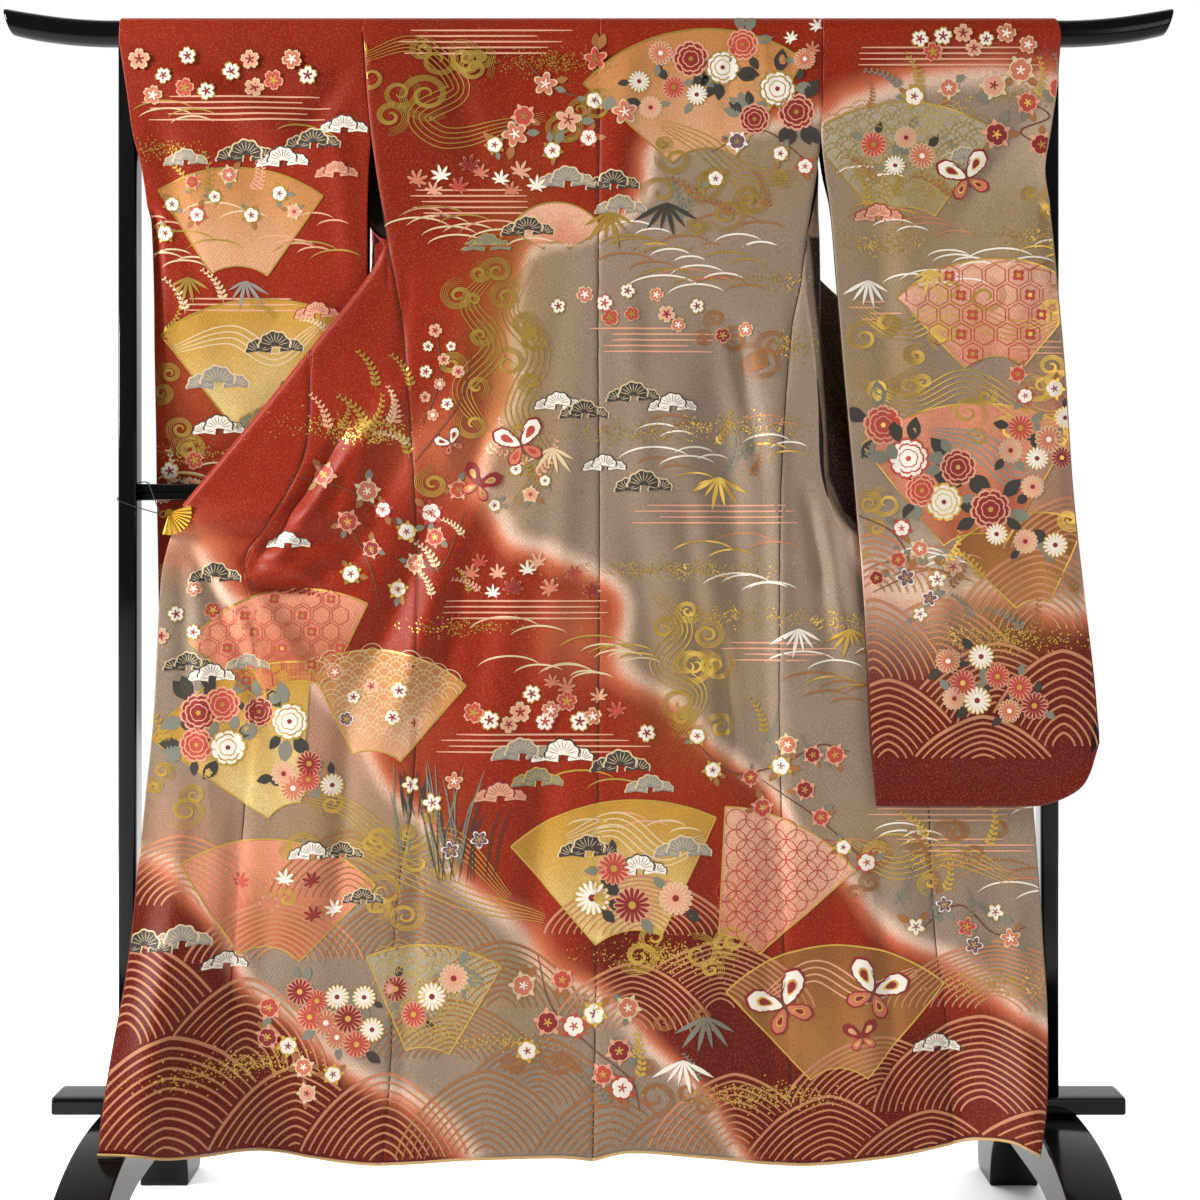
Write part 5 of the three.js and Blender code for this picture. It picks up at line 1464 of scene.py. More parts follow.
def fan(on, x, z, r, inner, middle, spread, tint):
    """An open fan's leaf: a part of a ring. Its tint runs from the outer edge to the inner."""
    a0, a1 = np.radians(middle - spread / 2), np.radians(middle + spread / 2)
    down = np.linspace(inner, r, int((r - inner) / 6) + 2)
    around = np.linspace(a1, a0, int(r * (a1 - a0) / 6) + 2)
    points = down[:, None, None] * ray(around) + (x, z)
    outer_tint, inner_tint = FAN_TINTS[tint]
    blend = smooth((down - inner) / (r - inner))[:, None, None] * np.ones((1, len(around), 1))
    blend = np.clip(blend + 0.25 * np.sin(around * 9 + x)[None, :, None] * (1 - blend), 0, 1)
    colours = inner_tint * (1 - blend) + outer_tint * blend
    faces = grid_faces(*points.shape[:2])[:, ::-1]
    leaves[on].append((points.reshape(-1, 2), faces, colours.reshape(-1, 3)))
    edge = lambda radius, a: radius * ray(a) + (x, z)
    rim = np.linspace(a0, a1, len(around))
    for radius, width in ((r, 2.4), (inner, 1.6)):
        stroke(on, edge(radius, rim), width, "leafgold", 0.62, 0)
    for a in (a0, a1):
        ribbon(on, [edge(inner, a), edge((inner + r) / 2, a), edge(r, a)], 2.0, "leafgold", 0.62, 0)


def in_fan(points, x, z, r, inner, middle, spread):
    """Which points lie on a fan's leaf, a little inside its edges."""
    dx, dz = points[:, 0] - x, points[:, 1] - z
    away = np.hypot(dx, dz)
    turn = np.degrees(np.arctan2(dz, dx)) - middle
    return (away > inner + 6) & (away < r - 6) & (np.abs(turn) < spread / 2 - 2)


print("fan tints:", list(FAN_TINTS))


def lattice(shape, across, up, rows=9):
    """Points of a lattice that lie on a fan's leaf; every other row is half a step aside."""
    x, z, r = shape[:3]
    row, column = np.meshgrid(np.arange(-rows, rows + 1), np.arange(-9, 10), indexing="ij")
    aside = column + 0.5 * (row % 2)
    points = np.stack([(x + aside * across).ravel(), (z + r * 0.6 + row * up).ravel()], -1)
    return points[in_fan(points, *shape)]


def hexagons(on, shape, size, pigment):
    """Tortoiseshell: hexagon outlines on a fan, with a small flower in every third."""
    a = np.radians(np.arange(30, 421, 60))
    for n, centre in enumerate(lattice(shape, size * 1.74, size * 1.5)):
        stroke(on, centre + size * 0.86 * ray(a), 1.3, pigment, 0.72, 0)
        if n % 3 == 0:
            disc(on, centre, size * 0.5, lobed(4, 0.4), [(0.4, "leafgold"), (1, pigment)], 0.8, 0.7, 24)


def rings_on(on, shape, size, pigment):
    """Seven treasures: circles that overlap by a quarter, on a fan."""
    a = np.linspace(0, 2 * np.pi, 21)
    for centre in lattice(shape, size * 2, size):
        stroke(on, centre + size * ray(a), 1.2, pigment, 0.72, 0)


def scales_on(on, shape, size, pigment):
    """Small wave scales: two arcs in each, rows set half a scale aside."""
    a = np.linspace(0.15, np.pi - 0.15, 9)
    for centre in lattice(shape, size * 2, size * 0.5, rows=12):
        for part in (0.95, 0.6):
            stroke(on, centre + size * part * ray(a), 1.0, pigment, 0.72, 0)


# %% [markdown]
# ## The layout
# The painting is composed over the whole garment: fans scattered among flowers, mist and
# water above, and great waves along the hem and the sleeve ends. The tables give each motif's
# place in millimetres from the stand's middle and the floor. The fans carry patterns of their
# kind (tortoiseshell, seven treasures, wave scales) and flowers.

# %% Waves along the hem and the sleeve ends
def each(*groups):
    """Rows of a layout table: a group is a surface and its rows, and the surface comes first in
    each row that is given back."""
    return [(on, *row) for on, rows in groups for row in rows]


def tally(what):
    """Prints how many shapes the canvas holds after a step."""
    print("after", what + ":", {on: len(shapes) for on, shapes in canvas.items()})


below_hem = lambda x: hem_at(x) + 2
waves("body", [(-560, 470, 120, 95), (-430, 395, 120, 80), (-620, 300, 130, 130), (-470, 250, 110, 120),
    (-560, 130, 150, 175), (-400, 120, 120, 130), (-280, 110, 120, 130)], 10.5, 3.1, "copper", below_hem)
waves("body", [(-330, 480, 110, 90), (-240, 400, 120, 90), (-120, 330, 110, 90), (-190, 260, 120, 80),
    (-70, 200, 110, 90), (-140, 120, 125, 125), (30, 90, 120, 130), (110, 80, 90, 110)], 10, 2.3, "amber",
    below_hem)
waves("body", [(70, 430, 130, 80), (180, 330, 130, 90), (60, 300, 110, 90), (560, 330, 150, 90),
    (400, 200, 130, 90), (540, 190, 150, 130), (200, 130, 120, 110), (330, 90, 130, 120),
    (470, 80, 130, 110), (600, 90, 100, 120)], 10, 2.7, "copper", below_hem)
waves("right", [(390, 900, 90, 80), (660, 960, 90, 70), (620, 850, 120, 110), (480, 800, 110, 90),
    (390, 780, 100, 110), (560, 720, 130, 110), (650, 690, 110, 130), (410, 670, 110, 110),
    (540, 640, 110, 90)], 10.5, 3.2, "copper", lambda x: 672 + 0 * x)
waves("left", [(-560, 800, 110, 60), (-420, 790, 110, 60), (-500, 720, 120, 90), (-360, 700, 100, 90),
    (-590, 690, 90, 90)], 10.5, 3.2, "copper", lambda x: 660 + 0 * x)

tally("the great waves")

# %% Running water and eddies
for x, z, r, turns, hand in [(-330, 1655, 30, 1.6, 1), (-225, 1590, 46, 1.9, -1), (-275, 1560, 32, 1.6, 1),
        (-180, 1310, 30, 1.7, 1), (-150, 1255, 26, 1.5, -1), (-190, 1215, 26, 1.7, 1),
        (-90, 1270, 24, 1.4, 1), (-80, 1190, 22, 1.4, -1), (105, 850, 28, 1.6, 1), (165, 800, 26, 1.5, -1),
        (120, 1500, 34, 1.5, 1), (225, 1440, 28, 1.5, -1), (-215, 1050, 30, 1.6, 1), (-290, 560, 34, 1.6, 1),
        (-200, 520, 30, 1.5, -1), (70, 400, 34, 1.7, 1), (395, 540, 26, 1.5, 1), (470, 500, 22, 1.4, -1)]:
    whirl("body", x, z, r, turns, hand, start=random.uniform(0, 6))
for path in ([(-318, 1640), (-240, 1660), (-180, 1600), (-235, 1560), (-200, 1530), (-120, 1545),
        (-60, 1560)], [(-130, 1345), (-165, 1300), (-130, 1240), (-175, 1180), (-140, 1120)],
        [(-75, 1360), (-110, 1290), (-70, 1230), (-100, 1150), (-60, 1080), (-110, 1010)],
        [(90, 900), (130, 850), (100, 800), (150, 760), (120, 700)], [(100, 1550), (160, 1520), (210, 1480),
        (290, 1475)], [(-400, 620), (-330, 600), (-250, 540), (-190, 560), (-110, 480)],
        [(-350, 560), (-260, 520), (-170, 480), (-60, 450)], [(350, 560), (420, 520), (500, 540),
        (590, 500)]):
    stream("body", path, 5, 8)
for on, x, z, r, hand in each(
        ("right", [(410, 1270, 26, 1), (640, 1290, 26, -1), (400, 1180, 28, -1), (450, 1225, 22, 1),
            (650, 1110, 26, 1), (640, 1440, 26, 1), (660, 1000, 24, -1)]),
        ("left", [(-600, 1180, 24, 1), (-590, 900, 26, -1)])):
    whirl(on, x, z, r, 1.6, hand, start=random.uniform(0, 6))
stream("right", [(360, 1300), (430, 1260), (500, 1290), (590, 1260), (670, 1290)], 5, 8)
stream("right", [(370, 1190), (440, 1160), (520, 1190), (620, 1140), (680, 1150)], 5, 8)
for on, x0, x1, z0, z1, count, pigment in each(
        ("body", [(-160, -70, 1080, 1350, 10, "leafgold"), (70, 290, 1400, 1530, 9, "leafgold"),
            (90, 200, 690, 900, 9, "leafgold"), (-420, -210, 430, 620, 12, "leafgold"),
            (330, 600, 470, 590, 8, "ochre"), (-315, -120, 1560, 1665, 8, "leafgold"),
            (-100, 60, 1540, 1580, 4, "leafgold"), (-120, 160, 180, 330, 10, "ochre"),
            (60, 240, 380, 430, 5, "leafgold"), (-610, -540, 560, 700, 4, "leafgold"),
            (150, 280, 1120, 1300, 7, "ochre")]),
        ("right", [(360, 680, 1060, 1320, 16, "leafgold"), (360, 440, 930, 1050, 5, "leafgold"),
            (600, 680, 1400, 1560, 5, "leafgold")]),
        ("left", [(-610, -560, 900, 1230, 5, "leafgold")])):
    for n in range(count):
        whirl(on, random.uniform(x0, x1), random.uniform(z0, z1), random.uniform(16, 36),
            random.uniform(1.2, 1.9), 1 if n % 2 else -1, pigment, 4, random.uniform(0, 6))

tally("running water and eddies")

# %% Mist and grass
for on, x0, x1, z, lines in each(
        ("left", [(-620, -350, 1588, 5), (-600, -400, 1310, 3)]),
        ("body", [(-270, -20, 1680, 5), (-260, -40, 1457, 5), (0, 190, 1265, 5), (-210, 30, 888, 4),
            (-215, 90, 704, 4), (60, 320, 1020, 4), (180, 360, 830, 4), (380, 610, 610, 4)]),
        ("right", [(350, 640, 1656, 4), (350, 440, 1300, 4), (560, 690, 1245, 3)]),
        ("body", [(420, 620, 560, 3)])):
    mist(on, x0, x1, z, lines)
RED_ARCS = ("leafgold", "peach", "cream")
GREY_ARCS = ("leafgold", "amber", "white", "copper")
for on, x0, x1, z0, z1, count, tones in each(
        ("left", [(-620, -340, 1340, 1420, 9, RED_ARCS), (-610, -330, 1020, 1080, 6, RED_ARCS),
            (-620, -380, 1530, 1560, 3, RED_ARCS)]),
        ("body", [(-280, -120, 1370, 1420, 7, RED_ARCS), (40, 290, 1290, 1400, 14, GREY_ARCS),
            (90, 260, 1040, 1180, 9, GREY_ARCS), (150, 260, 900, 960, 4, GREY_ARCS),
            (-120, 60, 780, 850, 8, RED_ARCS), (190, 400, 740, 860, 8, GREY_ARCS),
            (360, 600, 470, 600, 10, GREY_ARCS), (-40, 120, 560, 640, 5, RED_ARCS)]),
        ("right", [(380, 680, 1310, 1400, 12, GREY_ARCS), (380, 480, 900, 960, 5, GREY_ARCS),
            (360, 420, 1400, 1500, 4, GREY_ARCS)])):
    swells(on, x0, x1, z0, z1, count, tones)

tally("mist and grass")

# %% Fans
FANS = each(
    ("left", [(-490, 1285, 205, 70, 88, 68, "amber"), (-455, 1075, 235, 62, 96, 64, "gold")]),
    ("body", [(165, 1450, 232, 66, 96, 84, "amber"), (-45, 1365, 75, 20, 90, 120, "peach"),
        (-395, 700, 205, 78, 102, 76, "salmon"), (-300, 620, 200, 62, 82, 66, "amber"),
        (-400, 560, 245, 50, 116, 60, "gold"), (-445, 345, 215, 68, 84, 78, "salmon"),
        (175, 350, 255, 80, 64, 46, "peach"), (65, 352, 262, 84, 98, 66, "gold"),
        (345, 190, 225, 58, 92, 84, "brown"), (-225, 210, 205, 66, 86, 54, "grey")]),
    ("right", [(440, 1365, 215, 66, 92, 74, "grey"), (560, 1165, 195, 60, 92, 84, "peach"),
        (535, 905, 255, 76, 94, 70, "salmon"), (615, 850, 160, 40, 100, 70, "brown")]))
for row in FANS:
    fan(*row)
for row, draw, size, pigment in [(4, hexagons, 15, "rose"), (13, hexagons, 18, "rose"),
        (8, rings_on, 14, "rose"), (5, scales_on, 18, "cream"), (12, scales_on, 20, "leafgold"),
        (11, scales_on, 18, "leafgold")]:
    on, *shape, tint = FANS[row]
    draw(on, shape, size, pigment)
for on, path, lines, gap, pigment, width in [
        ("right", [(470, 1120), (540, 1100), (590, 1060), (640, 1090)], 5, 9, "slate", 3.2),
        ("left", [(-580, 1240), (-500, 1260), (-440, 1230), (-380, 1270)], 4, 9, "cream", 2.0),
        ("body", [(-30, 560), (40, 580), (100, 540), (160, 560)], 5, 9, "cream", 2.0),
        ("body", [(240, 340), (310, 380), (380, 350), (450, 380)], 4, 10, "peach", 2.4)]:
    stream(on, path, lines, gap, pigment, width)

tally("the fans")

# %% Pines, bamboo, iris
for on, x, z, w, tone in each(
        ("left", [(-476, 1508, 62, "dark"), (-425, 1500, 56, "white"), (-382, 1524, 58, "dark"),
            (-340, 1545, 52, "white"), (-350, 1483, 46, "rosy"), (-560, 1500, 46, "grey"),
            (-520, 1195, 66, "grey"), (-440, 1245, 62, "dark"), (-395, 1190, 60, "white"),
            (-520, 1130, 56, "white"), (-450, 1140, 66, "sage"), (-380, 1290, 48, "rosy")]),
        ("body", [(-30, 1470, 60, "grey"), (34, 1466, 56, "dark"), (45, 1432, 54, "grey"),
            (-84, 1402, 56, "dark"), (-140, 1380, 50, "sage"), (-42, 1160, 50, "white"),
            (-6, 1148, 52, "dark"), (62, 1172, 56, "dark"), (116, 1158, 52, "white"),
            (22, 1075, 46, "white"), (76, 1048, 60, "dark"), (-92, 678, 62, "grey"),
            (-36, 676, 66, "white"), (44, 662, 62, "dark"), (-70, 640, 54, "sage"),
            (84, 632, 50, "grey"), (-122, 620, 56, "rosy"), (-515, 922, 56, "dark"),
            (-415, 968, 48, "white"), (-552, 800, 52, "dark"), (-520, 785, 50, "white"),
            (-470, 800, 46, "grey"), (-380, 540, 50, "white"), (-340, 540, 46, "dark"),
            (-310, 478, 44, "dark"), (-605, 418, 60, "dark"), (-555, 425, 60, "grey"),
            (-498, 392, 46, "white"), (478, 278, 50, "white"), (0, 545, 62, "dark"),
            (70, 520, 58, "white"), (130, 545, 60, "grey")]),
        ("right", [(520, 1500, 50, "grey"), (400, 1420, 50, "rosy")])):
    pine(on, x, z, w, tone)
for on, x, z, size, tone in each(
        ("left", [(-560, 1340, 42, "leafgold"), (-480, 1335, 46, "slate")]),
        ("body", [(30, 1428, 60, "leafgold"), (108, 1440, 62, "pine"), (-50, 1100, 46, "cream"),
            (180, 1060, 54, "leafgold"), (290, 850, 50, "white"), (360, 850, 46, "leafgold")]),
        ("right", [(385, 1330, 46, "white"), (470, 1345, 46, "leafgold")]),
        ("body", [(-180, 390, 60, "sage"), (160, 320, 60, "sage"), (130, 260, 54, "white")])):
    bamboo(on, x, z, size, tone)
for x, z, height, count, tone in [(-215, 520, 150, 16, "sage"), (-170, 500, 130, 12, "pine"),
        (-240, 590, 70, 10, "pine"), (375, 1560, 90, 12, "pine")]:
    reeds("body", x, z, height, count, tone)
for x, z, r, tone in [(-215, 610, 15, "white"), (-185, 640, 13, "salmon"), (-245, 635, 13, "white"),
        (-150, 560, 13, "violet"), (-190, 545, 13, "violet"), (385, 1640, 15, "white"),
        (350, 1615, 13, "violet")]:
    flower("body", "bell", x, z, r, tone)

tally("pines, bamboo and iris")

# %% Branches and flowers
BRANCHES = {"body": [[(-400, 1060), (-330, 1040), (-260, 990), (-210, 930), (-170, 1010)],
    [(-330, 990), (-300, 930), (-290, 880)], [(-230, 1130), (-205, 1200), (-215, 1280)],
    [(-240, 1080), (-180, 1160), (-160, 1230)],
    [(150, 690), (200, 650), (260, 660), (320, 690), (360, 680)],
    [(240, 640), (300, 600), (350, 560), (390, 520)], [(170, 1510), (240, 1540), (300, 1500)],
    [(450, 430), (510, 470), (560, 430), (600, 440)],
    [(-70, 400), (-50, 330), (0, 280), (60, 230), (70, 190)],
    [(-90, 1640), (-50, 1600), (10, 1580), (50, 1560)]],
    "right": [[(360, 1010), (420, 980), (440, 930), (390, 900)],
    [(600, 1590), (640, 1560), (600, 1540), (640, 1510)]]}
for on, paths in BRANCHES.items():
    for points in paths:
        ribbon(on, points, 2.0, "brown", 0.68, 0.5)
W, S, O, P, B, V, R = "white", "salmon", "rose", "peach", "blush", "violet", "red"
FLOWERS = each(
    ("left", [("cherry", 14, [(-624, 1640, P), (-590, 1617, W), (-557, 1645, W), (-530, 1595, W),
        (-497, 1624, W), (-465, 1602, P), (-438, 1612, O), (-412, 1640, S), (-390, 1618, W),
        (-605, 1590, S), (-560, 1600, O), (-470, 1640, P)]), ("plum", 10, [(-580, 1440, W),
        (-520, 1450, W), (-470, 1425, W), (-500, 1480, S), (-430, 1455, W), (-590, 1400, W),
        (-550, 1470, O), (-410, 1430, P), (-545, 1425, B)]), ("cherry", 13, [(-590, 1070, W),
        (-555, 1085, O), (-560, 1050, P), (-600, 1035, S)]), ("chrysanthemum", 19, [(-500, 960, W),
        (-465, 930, O), (-520, 915, S), (-430, 965, R), (-480, 885, W), (-395, 920, P)])]),
    ("body", [("bell", 19, [(-60, 1605, S), (-102, 1535, S), (-28, 1555, P), (10, 1640, O),
        (50, 1565, S)]), ("plum", 13, [(8, 1582, W), (-50, 1512, W), (-90, 1560, O), (0, 1530, B),
        (-130, 1520, W)]), ("maple", 15, [(-238, 1470, S), (-204, 1476, W), (-180, 1460, O),
        (-150, 1480, S), (-122, 1471, W), (-95, 1482, P), (-72, 1462, W), (-215, 1455, P),
        (-165, 1490, R), (-108, 1455, S)]), ("peony", 25, [(142, 1640, R), (186, 1628, W),
        (262, 1598, W), (230, 1556, R), (288, 1566, R), (214, 1660, O)]), ("chrysanthemum", 16,
        [(100, 1648, S), (70, 1608, W), (86, 1572, P), (118, 1600, O), (150, 1590, W), (300, 1640, S)]),
        ("maple", 13, [(282, 1668, W), (310, 1652, S), (318, 1685, W)]), ("plum", 12, [(266, 1508, W),
        (176, 1473, W), (206, 1525, V), (300, 1490, B)]), ("cherry", 12, [(-42, 1296, W), (-5, 1312, S),
        (22, 1300, B), (54, 1317, W), (60, 1285, O), (94, 1312, S), (108, 1285, P), (150, 1296, W),
        (186, 1256, R), (218, 1264, S), (124, 1270, S), (30, 1280, O)]), ("cherry", 9, [(-212, 1262, P),
        (-222, 1240, W), (-200, 1222, P), (-225, 1205, W), (-206, 1188, S), (-190, 1240, W),
        (-226, 1170, P), (-180, 1205, P), (-195, 1160, W), (-215, 1145, S)]), ("plum", 13,
        [(-365, 1062, O), (-306, 1040, S), (-252, 984, W), (-284, 1014, B), (-332, 998, O),
        (-212, 976, O), (-328, 925, W), (-264, 904, W), (-180, 1042, O), (-300, 960, R), (-240, 940, S),
        (-218, 1010, B)]), ("plum", 9, [(-130, 1020, W), (-60, 1054, W), (-80, 1035, P),
        (-100, 1070, W)]), ("maple", 14, [(-163, 925, S), (-132, 898, B), (-84, 930, W), (-104, 904, R),
        (-52, 904, S), (-20, 925, O), (-70, 940, P), (-150, 940, O), (5, 900, R), (-125, 925, P)]),
        ("cherry", 14, [(-158, 734, O), (-136, 724, W), (-110, 718, P), (-78, 760, W), (-52, 738, S),
        (-30, 750, O), (6, 729, S), (-94, 735, P), (-12, 722, W), (80, 706, W), (-60, 722, B)]),
        ("maple", 13, [(-30, 768, S), (15, 755, P), (40, 735, O), (-50, 775, S)]), ("plum", 12,
        [(150, 702, W), (171, 655, W), (224, 644, O), (266, 660, W), (240, 602, O), (309, 676, R),
        (351, 549, W), (383, 528, B), (298, 628, R), (340, 676, O), (275, 690, S), (320, 590, O)]),
        ("cherry", 13, [(-545, 905, S), (-570, 870, W), (-590, 840, P), (-520, 875, O),
        (-545, 845, W)]), ("peony", 24, [(-537, 734, R), (-497, 686, W), (-455, 735, R), (-412, 722, W),
        (-505, 745, O), (-540, 690, O)]), ("chrysanthemum", 17, [(-407, 630, S), (-386, 642, O),
        (-354, 634, W), (-385, 664, R), (-420, 650, P)]), ("cherry", 12, [(-325, 755, W),
        (-270, 728, W), (-300, 770, P), (-350, 790, S), (-260, 765, W), (-240, 720, P),
        (-335, 725, V)]), ("maple", 15, [(-418, 504, W), (-380, 502, R), (-378, 455, R), (-350, 462, W),
        (-440, 470, S), (-480, 500, O)]), ("chrysanthemum", 18, [(-396, 352, R), (-372, 340, O),
        (-345, 345, W), (-308, 344, W), (-330, 315, R), (-297, 300, W), (-360, 310, S), (-382, 318, O),
        (-318, 280, O), (-345, 290, S)]), ("plum", 13, [(-412, 278, W), (-438, 330, O), (-390, 250, S),
        (-350, 240, W), (-440, 290, R), (-385, 215, P)]), ("chrysanthemum", 20, [(-265, 355, R),
        (-215, 345, W), (-240, 320, O), (-185, 370, P)]), ("plum", 14, [(-84, 272, W), (-36, 368, O),
        (-56, 310, R), (-20, 305, B), (8, 322, W), (54, 330, S), (42, 272, R), (46, 222, B),
        (20, 240, O), (-90, 360, S)]), ("chrysanthemum", 24, [(5, 480, W), (60, 470, R), (120, 480, P),
        (35, 520, O)]), ("bell", 13, [(450, 440, W), (490, 470, V), (520, 440, O), (560, 460, W),
        (580, 425, S), (530, 415, V)])]),
    ("right", [("cherry", 13, [(460, 1668, W), (492, 1672, W), (520, 1676, P), (552, 1668, W),
        (580, 1676, S), (478, 1650, O), (610, 1660, S), (535, 1655, P)]), ("plum", 15, [(452, 1588, W),
        (563, 1604, P), (566, 1535, R), (628, 1520, R), (610, 1580, O), (500, 1600, S), (600, 1625, S),
        (655, 1600, O)]), ("chrysanthemum", 17, [(424, 1490, W), (462, 1504, S), (395, 1520, O),
        (440, 1530, P)]), ("plum", 11, [(360, 1010, W), (430, 988, B), (425, 945, O), (395, 920, R),
        (455, 960, S), (590, 1200, O), (640, 1180, W), (672, 1170, W), (600, 1170, B)]), ("peony", 26,
        [(440, 1084, B), (508, 1072, R), (488, 1024, W), (552, 1014, R), (458, 1040, O),
        (405, 1130, O)]), ("chrysanthemum", 17, [(594, 1126, O), (632, 1110, S), (616, 1084, W),
        (650, 1085, R), (655, 1140, W), (610, 1045, P), (580, 1095, P)]), ("bell", 13, [(436, 920, V),
        (478, 918, W), (468, 892, V), (500, 935, P), (455, 870, W)]), ("chrysanthemum", 16,
        [(560, 980, W), (600, 970, P), (640, 965, W)]), ("chrysanthemum", 18, [(492, 806, S),
        (538, 812, W), (512, 776, O), (532, 752, W), (590, 770, O), (576, 738, S), (560, 785, O),
        (500, 755, P), (610, 745, R)])]))
LEAF_TONES = {"cherry": ("sage", "ochre"), "plum": ("sage", "ochre"), "maple": ("ochre",),
    "peony": ("pine", "sage"), "chrysanthemum": ("pine", "sage"), "bell": ("sage", "ochre")}
for on, kind, r, places in FLOWERS:
    for x, z, tone in places:
        size = r * random.uniform(0.88, 1.15)
        if kind in ("peony", "chrysanthemum", "plum", "bell"):
            leaves_round(on, x, z, size * 1.15, LEAF_TONES[kind], 5 if kind == "peony" else 2)
        flower(on, kind, x, z, size, tone)
for on, x, z, size, lean, tone in each(
        ("body", [(-92, 1102, 36, 0.3, "blush"), (-152, 1048, 28, -0.4, "red"),
            (-190, 1105, 20, 0.5, "white")]),
        ("right", [(524, 1472, 38, 0.3, "white")]),
        ("body", [(270, 330, 46, 0.5, "white"), (390, 350, 44, -0.4, "white"),
            (375, 290, 24, 0.2, "red")])):
    butterfly(on, x, z, size, lean, tone)

tally("flowers and butterflies")

# %% Sprigs between the motifs
RED_SPRIGS = ("leafgold", "cream", "peach")
GREY_SPRIGS = ("sage", "leafgold", "ochre")
for on, x0, x1, z0, z1, count, tones in each(
        ("body", [(-370, -220, 1080, 1190, 10, RED_SPRIGS), (-150, -20, 1040, 1090, 5, RED_SPRIGS),
            (140, 230, 1060, 1110, 4, GREY_SPRIGS), (-220, -110, 860, 980, 5, RED_SPRIGS),
            (380, 610, 430, 560, 9, GREY_SPRIGS), (-600, -540, 620, 740, 4, RED_SPRIGS),
            (-40, 150, 180, 300, 6, GREY_SPRIGS), (110, 300, 1410, 1450, 5, GREY_SPRIGS),
            (200, 350, 620, 700, 4, GREY_SPRIGS)]),
        ("left", [(-610, -340, 1260, 1310, 5, RED_SPRIGS), (-610, -520, 1030, 1060, 3, RED_SPRIGS),
            (-570, -440, 1445, 1460, 4, RED_SPRIGS)]),
        ("right", [(370, 660, 1560, 1600, 6, GREY_SPRIGS), (440, 680, 840, 960, 8, GREY_SPRIGS),
            (370, 520, 1430, 1500, 5, GREY_SPRIGS)])):
    for _ in range(count):
        sprig(on, random.uniform(x0, x1), random.uniform(z0, z1), random.uniform(38, 62),
            random.uniform(0.6, 2.5), tones[random.integers(3)])

tally("sprigs")

# %% Seam lines of painted shadow
# Along a seam the cloth turns inwards, and the groove is in its own shadow; these near-black
# lines are that shadow, painted.
for table in (CENTRE, *SIDE.values(), *FRONT_SEAM.values(), *ARMHOLE.values()):
    rows = np.array(table, float)
    heights = np.linspace(min(rows[0, 0], 1696), max(rows[-1, 0], 125), 180)
    path = np.stack([at_height(table, heights) + 0.3 * np.sin(heights / 7), heights], -1)
    stroke("body", path, 1.5, "seam", 0.15, 0)
# the tuck across the back under the shoulders gets the same painted shadow
across = np.linspace(-300, 306, 90)
stroke("body", np.stack([across, TUCK_Z + 0.5 * np.sin(across / 23)], -1), 1.3, "seam", 0.15, 0)

tally("seam lines")

# %% Gold leaf drifts
for on, x, z, across, up, count in each(
        ("body", [(-50, 1635, 90, 18, 420), (-335, 1130, 90, 18, 420), (-300, 1115, 50, 14, 200),
            (120, 930, 150, 14, 480), (60, 1120, 110, 16, 300), (210, 1130, 90, 18, 300),
            (-170, 852, 80, 12, 200), (-480, 255, 110, 20, 520), (110, 400, 90, 24, 560),
            (230, 210, 120, 18, 560), (560, 365, 80, 20, 420), (205, 865, 90, 16, 300),
            (340, 860, 60, 14, 200), (-120, 285, 90, 14, 260), (250, 1330, 60, 18, 200),
            (480, 530, 70, 14, 200), (285, 1240, 40, 20, 160)]),
        ("right", [(560, 838, 110, 20, 620), (400, 1380, 60, 16, 200), (600, 1590, 80, 16, 260),
            (620, 1390, 60, 14, 160)]),
        ("left", [(-590, 1515, 60, 14, 220), (-560, 1095, 60, 14, 200), (-470, 870, 90, 20, 360)])):
    dust(on, x, z, across, up, count)
print("painted shapes:", {on: len(shapes) for on, shapes in canvas.items()})

# %% [markdown]
# The body's painting is one design over six panels; it is kept in two objects, left and right
# of the middle, since it has very many faces. A motif ends at the edge of its piece: points
# beyond an edge are moved onto it, and faces that shrink to nothing there are left out. Then
# each point is set on the cloth and moved out along the cloth's normal by half its thickness
# and the height of its layer.

# %% Laying the painting on the cloth
BODY_LEFT = [(1701, -316), (1537, -302), (1383, -281), (1333, -312), (1236, -389), (1123, -480),
    (1020, -566), *EDGE["left"][1:]]


def trim(on, x, z):
    """Moves points that lie beyond a piece's edges onto them."""
    z = np.minimum(z, 1699)
    if on == "body":
        z = np.maximum(z, hem_at(x) + 1.2)
        return np.clip(x, read_edge(BODY_LEFT, z) + 1.5, read_edge(BODY_RIGHT, z) - 1.5), z
    inner = sleeve_inner(on, z, gap=0)
    z = np.maximum(z, SLEEVE_FLOOR[on] + 4)
    outer = sleeve_table(on, 2, z)
    return np.clip(x, np.minimum(inner, outer) + 2, np.maximum(inner, outer) - 2), z


def surface_depth(on, x, z):
    """Depth of the cloth that carries a painting."""
    return near_depth(x, z) if on == "body" else sleeve_depth(on, x, z)


def on_cloth(on, points, lift):
    """Sets flat points on the cloth, out along its normal by half its wall and the lift."""
    x, z = trim(on, points[:, 0], points[:, 1])
    step = 1.0
    y = surface_depth(on, x, z)
    slope_x = (surface_depth(on, x + step, z) - surface_depth(on, x - step, z)) / (2 * step)
    slope_z = (surface_depth(on, x, z + step) - surface_depth(on, x, z - step)) / (2 * step)
    slope_z = np.clip(slope_z, -3, 3)
    way = unit(np.stack([slope_x, -np.ones_like(x), slope_z], -1))
    moved = np.abs(x - points[:, 0]) + np.abs(z - points[:, 1]) > 0.01
    return np.stack([x, y, z], -1) + way * (WALL / 2 + lift)[:, None], moved


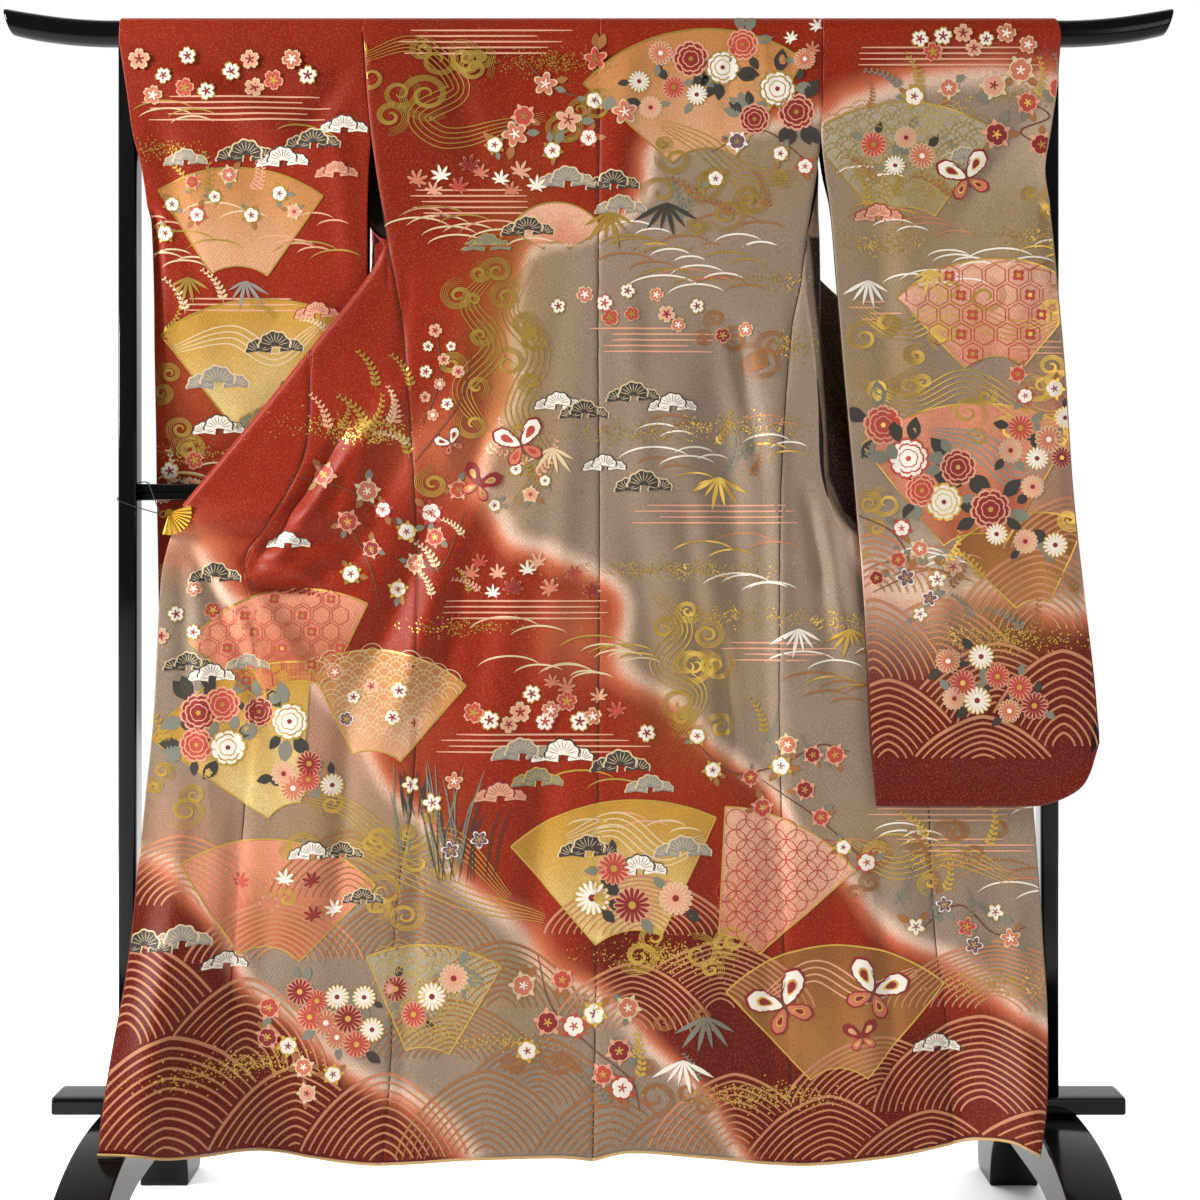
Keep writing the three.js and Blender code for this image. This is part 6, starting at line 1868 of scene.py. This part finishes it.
def gather(shapes):
    """Joins shapes into one array of points, of faces and of what each face or point carries."""
    start = np.cumsum([0] + [len(shape[0]) for shape in shapes])
    points = np.concatenate([shape[0] for shape in shapes])
    faces = np.concatenate([shape[1] + first for shape, first in zip(shapes, start)])
    return points, faces, np.concatenate([shape[2] for shape in shapes])


print("outlines of the body:", len(BODY_LEFT), "and", len(BODY_RIGHT), "marks")

# %% Paintings as pieces
pigments = []
for name, value in PIGMENTS.items():
    if name == "leafgold":
        material = leaf_gold
    else:
        material = new_material(name + " pigment painted on silk", {"Base Color": rgba(value),
            "Roughness": 0.6})[0]
    pigments.append(material)

LAYER_STEP, LAYER_FIRST, FAN_LAYER = 0.75, 0.15, 0.35
paintings = {}
for on in ("body", "left", "right"):
    points, faces, tone = gather(canvas[on])
    lift = np.concatenate([np.full(len(shape[0]), shape[3]) for shape in canvas[on]])
    placed, moved = on_cloth(on, points, lift * LAYER_STEP + LAYER_FIRST)
    keep = ~moved[faces].all(axis=1)
    faces, tone = faces[keep], tone[keep]
    paintings[on] = []
    parts = placed[faces, 0].mean(axis=1) > 0
    for name in ("left", "right") if on == "body" else ("",):
        mine = parts == (name == "right") if name else np.ones(len(faces), bool)
        used, own = np.unique(faces[mine], return_inverse=True)
        painting = new_mesh("painting_" + on + "_" * bool(name) + name, placed[used], own.reshape(-1, 4))
        for material in pigments:
            painting.data.materials.append(material)
        painting.data.polygons.foreach_set("material_index", tone[mine].astype(np.int32))
        paintings[on].append(painting)
        print(painting.name, len(painting.data.polygons), "faces")
    points, faces, colours = gather(leaves[on])
    placed, moved = on_cloth(on, points, np.full(len(points), FAN_LAYER))
    faces = faces[~moved[faces].all(axis=1)]
    fans = new_mesh("fans_" + on, placed, faces)
    paint(fans, "pigment", colours)
    fans.data.materials.append(painted_silk)
    paintings[on].append(fans)
    for piece in paintings[on]:
        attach(piece, "root")

# %% Kind and side of each cloth piece, read from its name
for name, piece in cloths.items():
    kind, side = name.split("_")

# %% [markdown]
# ## Studio
# A plain pale floor and soft light from a large window-like source at the left, with a weaker
# one at the right, as for a catalogue. The camera stands 2.6 m away at the kimono's middle
# height, and its lens is shifted a little instead of tilted, so upright lines stay upright.

# %% Floor and lights
floor = new_mesh("floor", [(-4000, -3500, 0), (4000, -3500, 0), (4000, 3500, 0), (-4000, 3500, 0)],
    [(0, 1, 2, 3)], soft=False)
floor_paper = new_material("matt white paper", {"Base Color": (0.95, 0.95, 0.95, 1), "Roughness": 0.9})
floor.data.materials.append(floor_paper[0])


def area_light(name, place, aim, size, watts, mirrored=True):
    """A soft rectangular light at a place, turned towards a point. One that only brightens the
    floor is kept out of the lacquer's reflections."""
    data = bpy.data.lights.new(name, "AREA")
    data.shape = "RECTANGLE"
    data.size, data.size_y = size
    data.energy = watts
    light = bpy.data.objects.new(name, data)
    light.location = place
    light.rotation_euler = (Vector(aim) - Vector(place)).to_track_quat("-Z", "Y").to_euler()
    light.visible_glossy = mirrored
    bpy.context.scene.collection.objects.link(light)


area_light("window", (-3.1, -1.05, 2.4), (0.1, 0, 0.9), (0.7, 1.1), 190)
area_light("fill", (2.4, -3.0, 1.7), (0, 0, 0.9), (1.6, 1.6), 26)
area_light("floor light", (0, 2.4, 3.2), (0, 1.7, 0), (5.0, 2.5), 190, False)

print("lights:", [light.name for light in bpy.data.lights])

# %% Sky and camera
world = bpy.data.worlds.new("studio")
world.use_nodes = True
sky = world.node_tree
way = add_node(sky, "SeparateXYZ", {0: add_node(sky, "TexCoord").outputs["Generated"]})
wall = add_node(sky, "MapRange", {"Value": way.outputs["Y"], "From Min": -0.1, "From Max": 0.5,
    "To Min": 0.2, "To Max": 1.0})
sky.links.new(wall.outputs["Result"], sky.nodes["Background"].inputs["Strength"])
sky.nodes["Background"].inputs["Color"].default_value = (1, 1, 1, 1)
bpy.context.scene.world = world
bpy.context.scene.view_settings.view_transform = "Standard"

FRAME = 1200
camera_data = bpy.data.cameras.new("camera")
camera_data.sensor_width = 36.0
camera_data.lens = 55.7
camera_data.shift_x = 5 / FRAME
camera_data.shift_y = -36 / FRAME
camera = bpy.data.objects.new("camera", camera_data)
camera.location = (0.009, -2.6, 0.939)
camera.rotation_euler = (np.pi / 2, 0, 0)
bpy.context.scene.collection.objects.link(camera)
bpy.context.scene.camera = camera
print("camera, metres:", [round(v, 3) for v in camera.location])
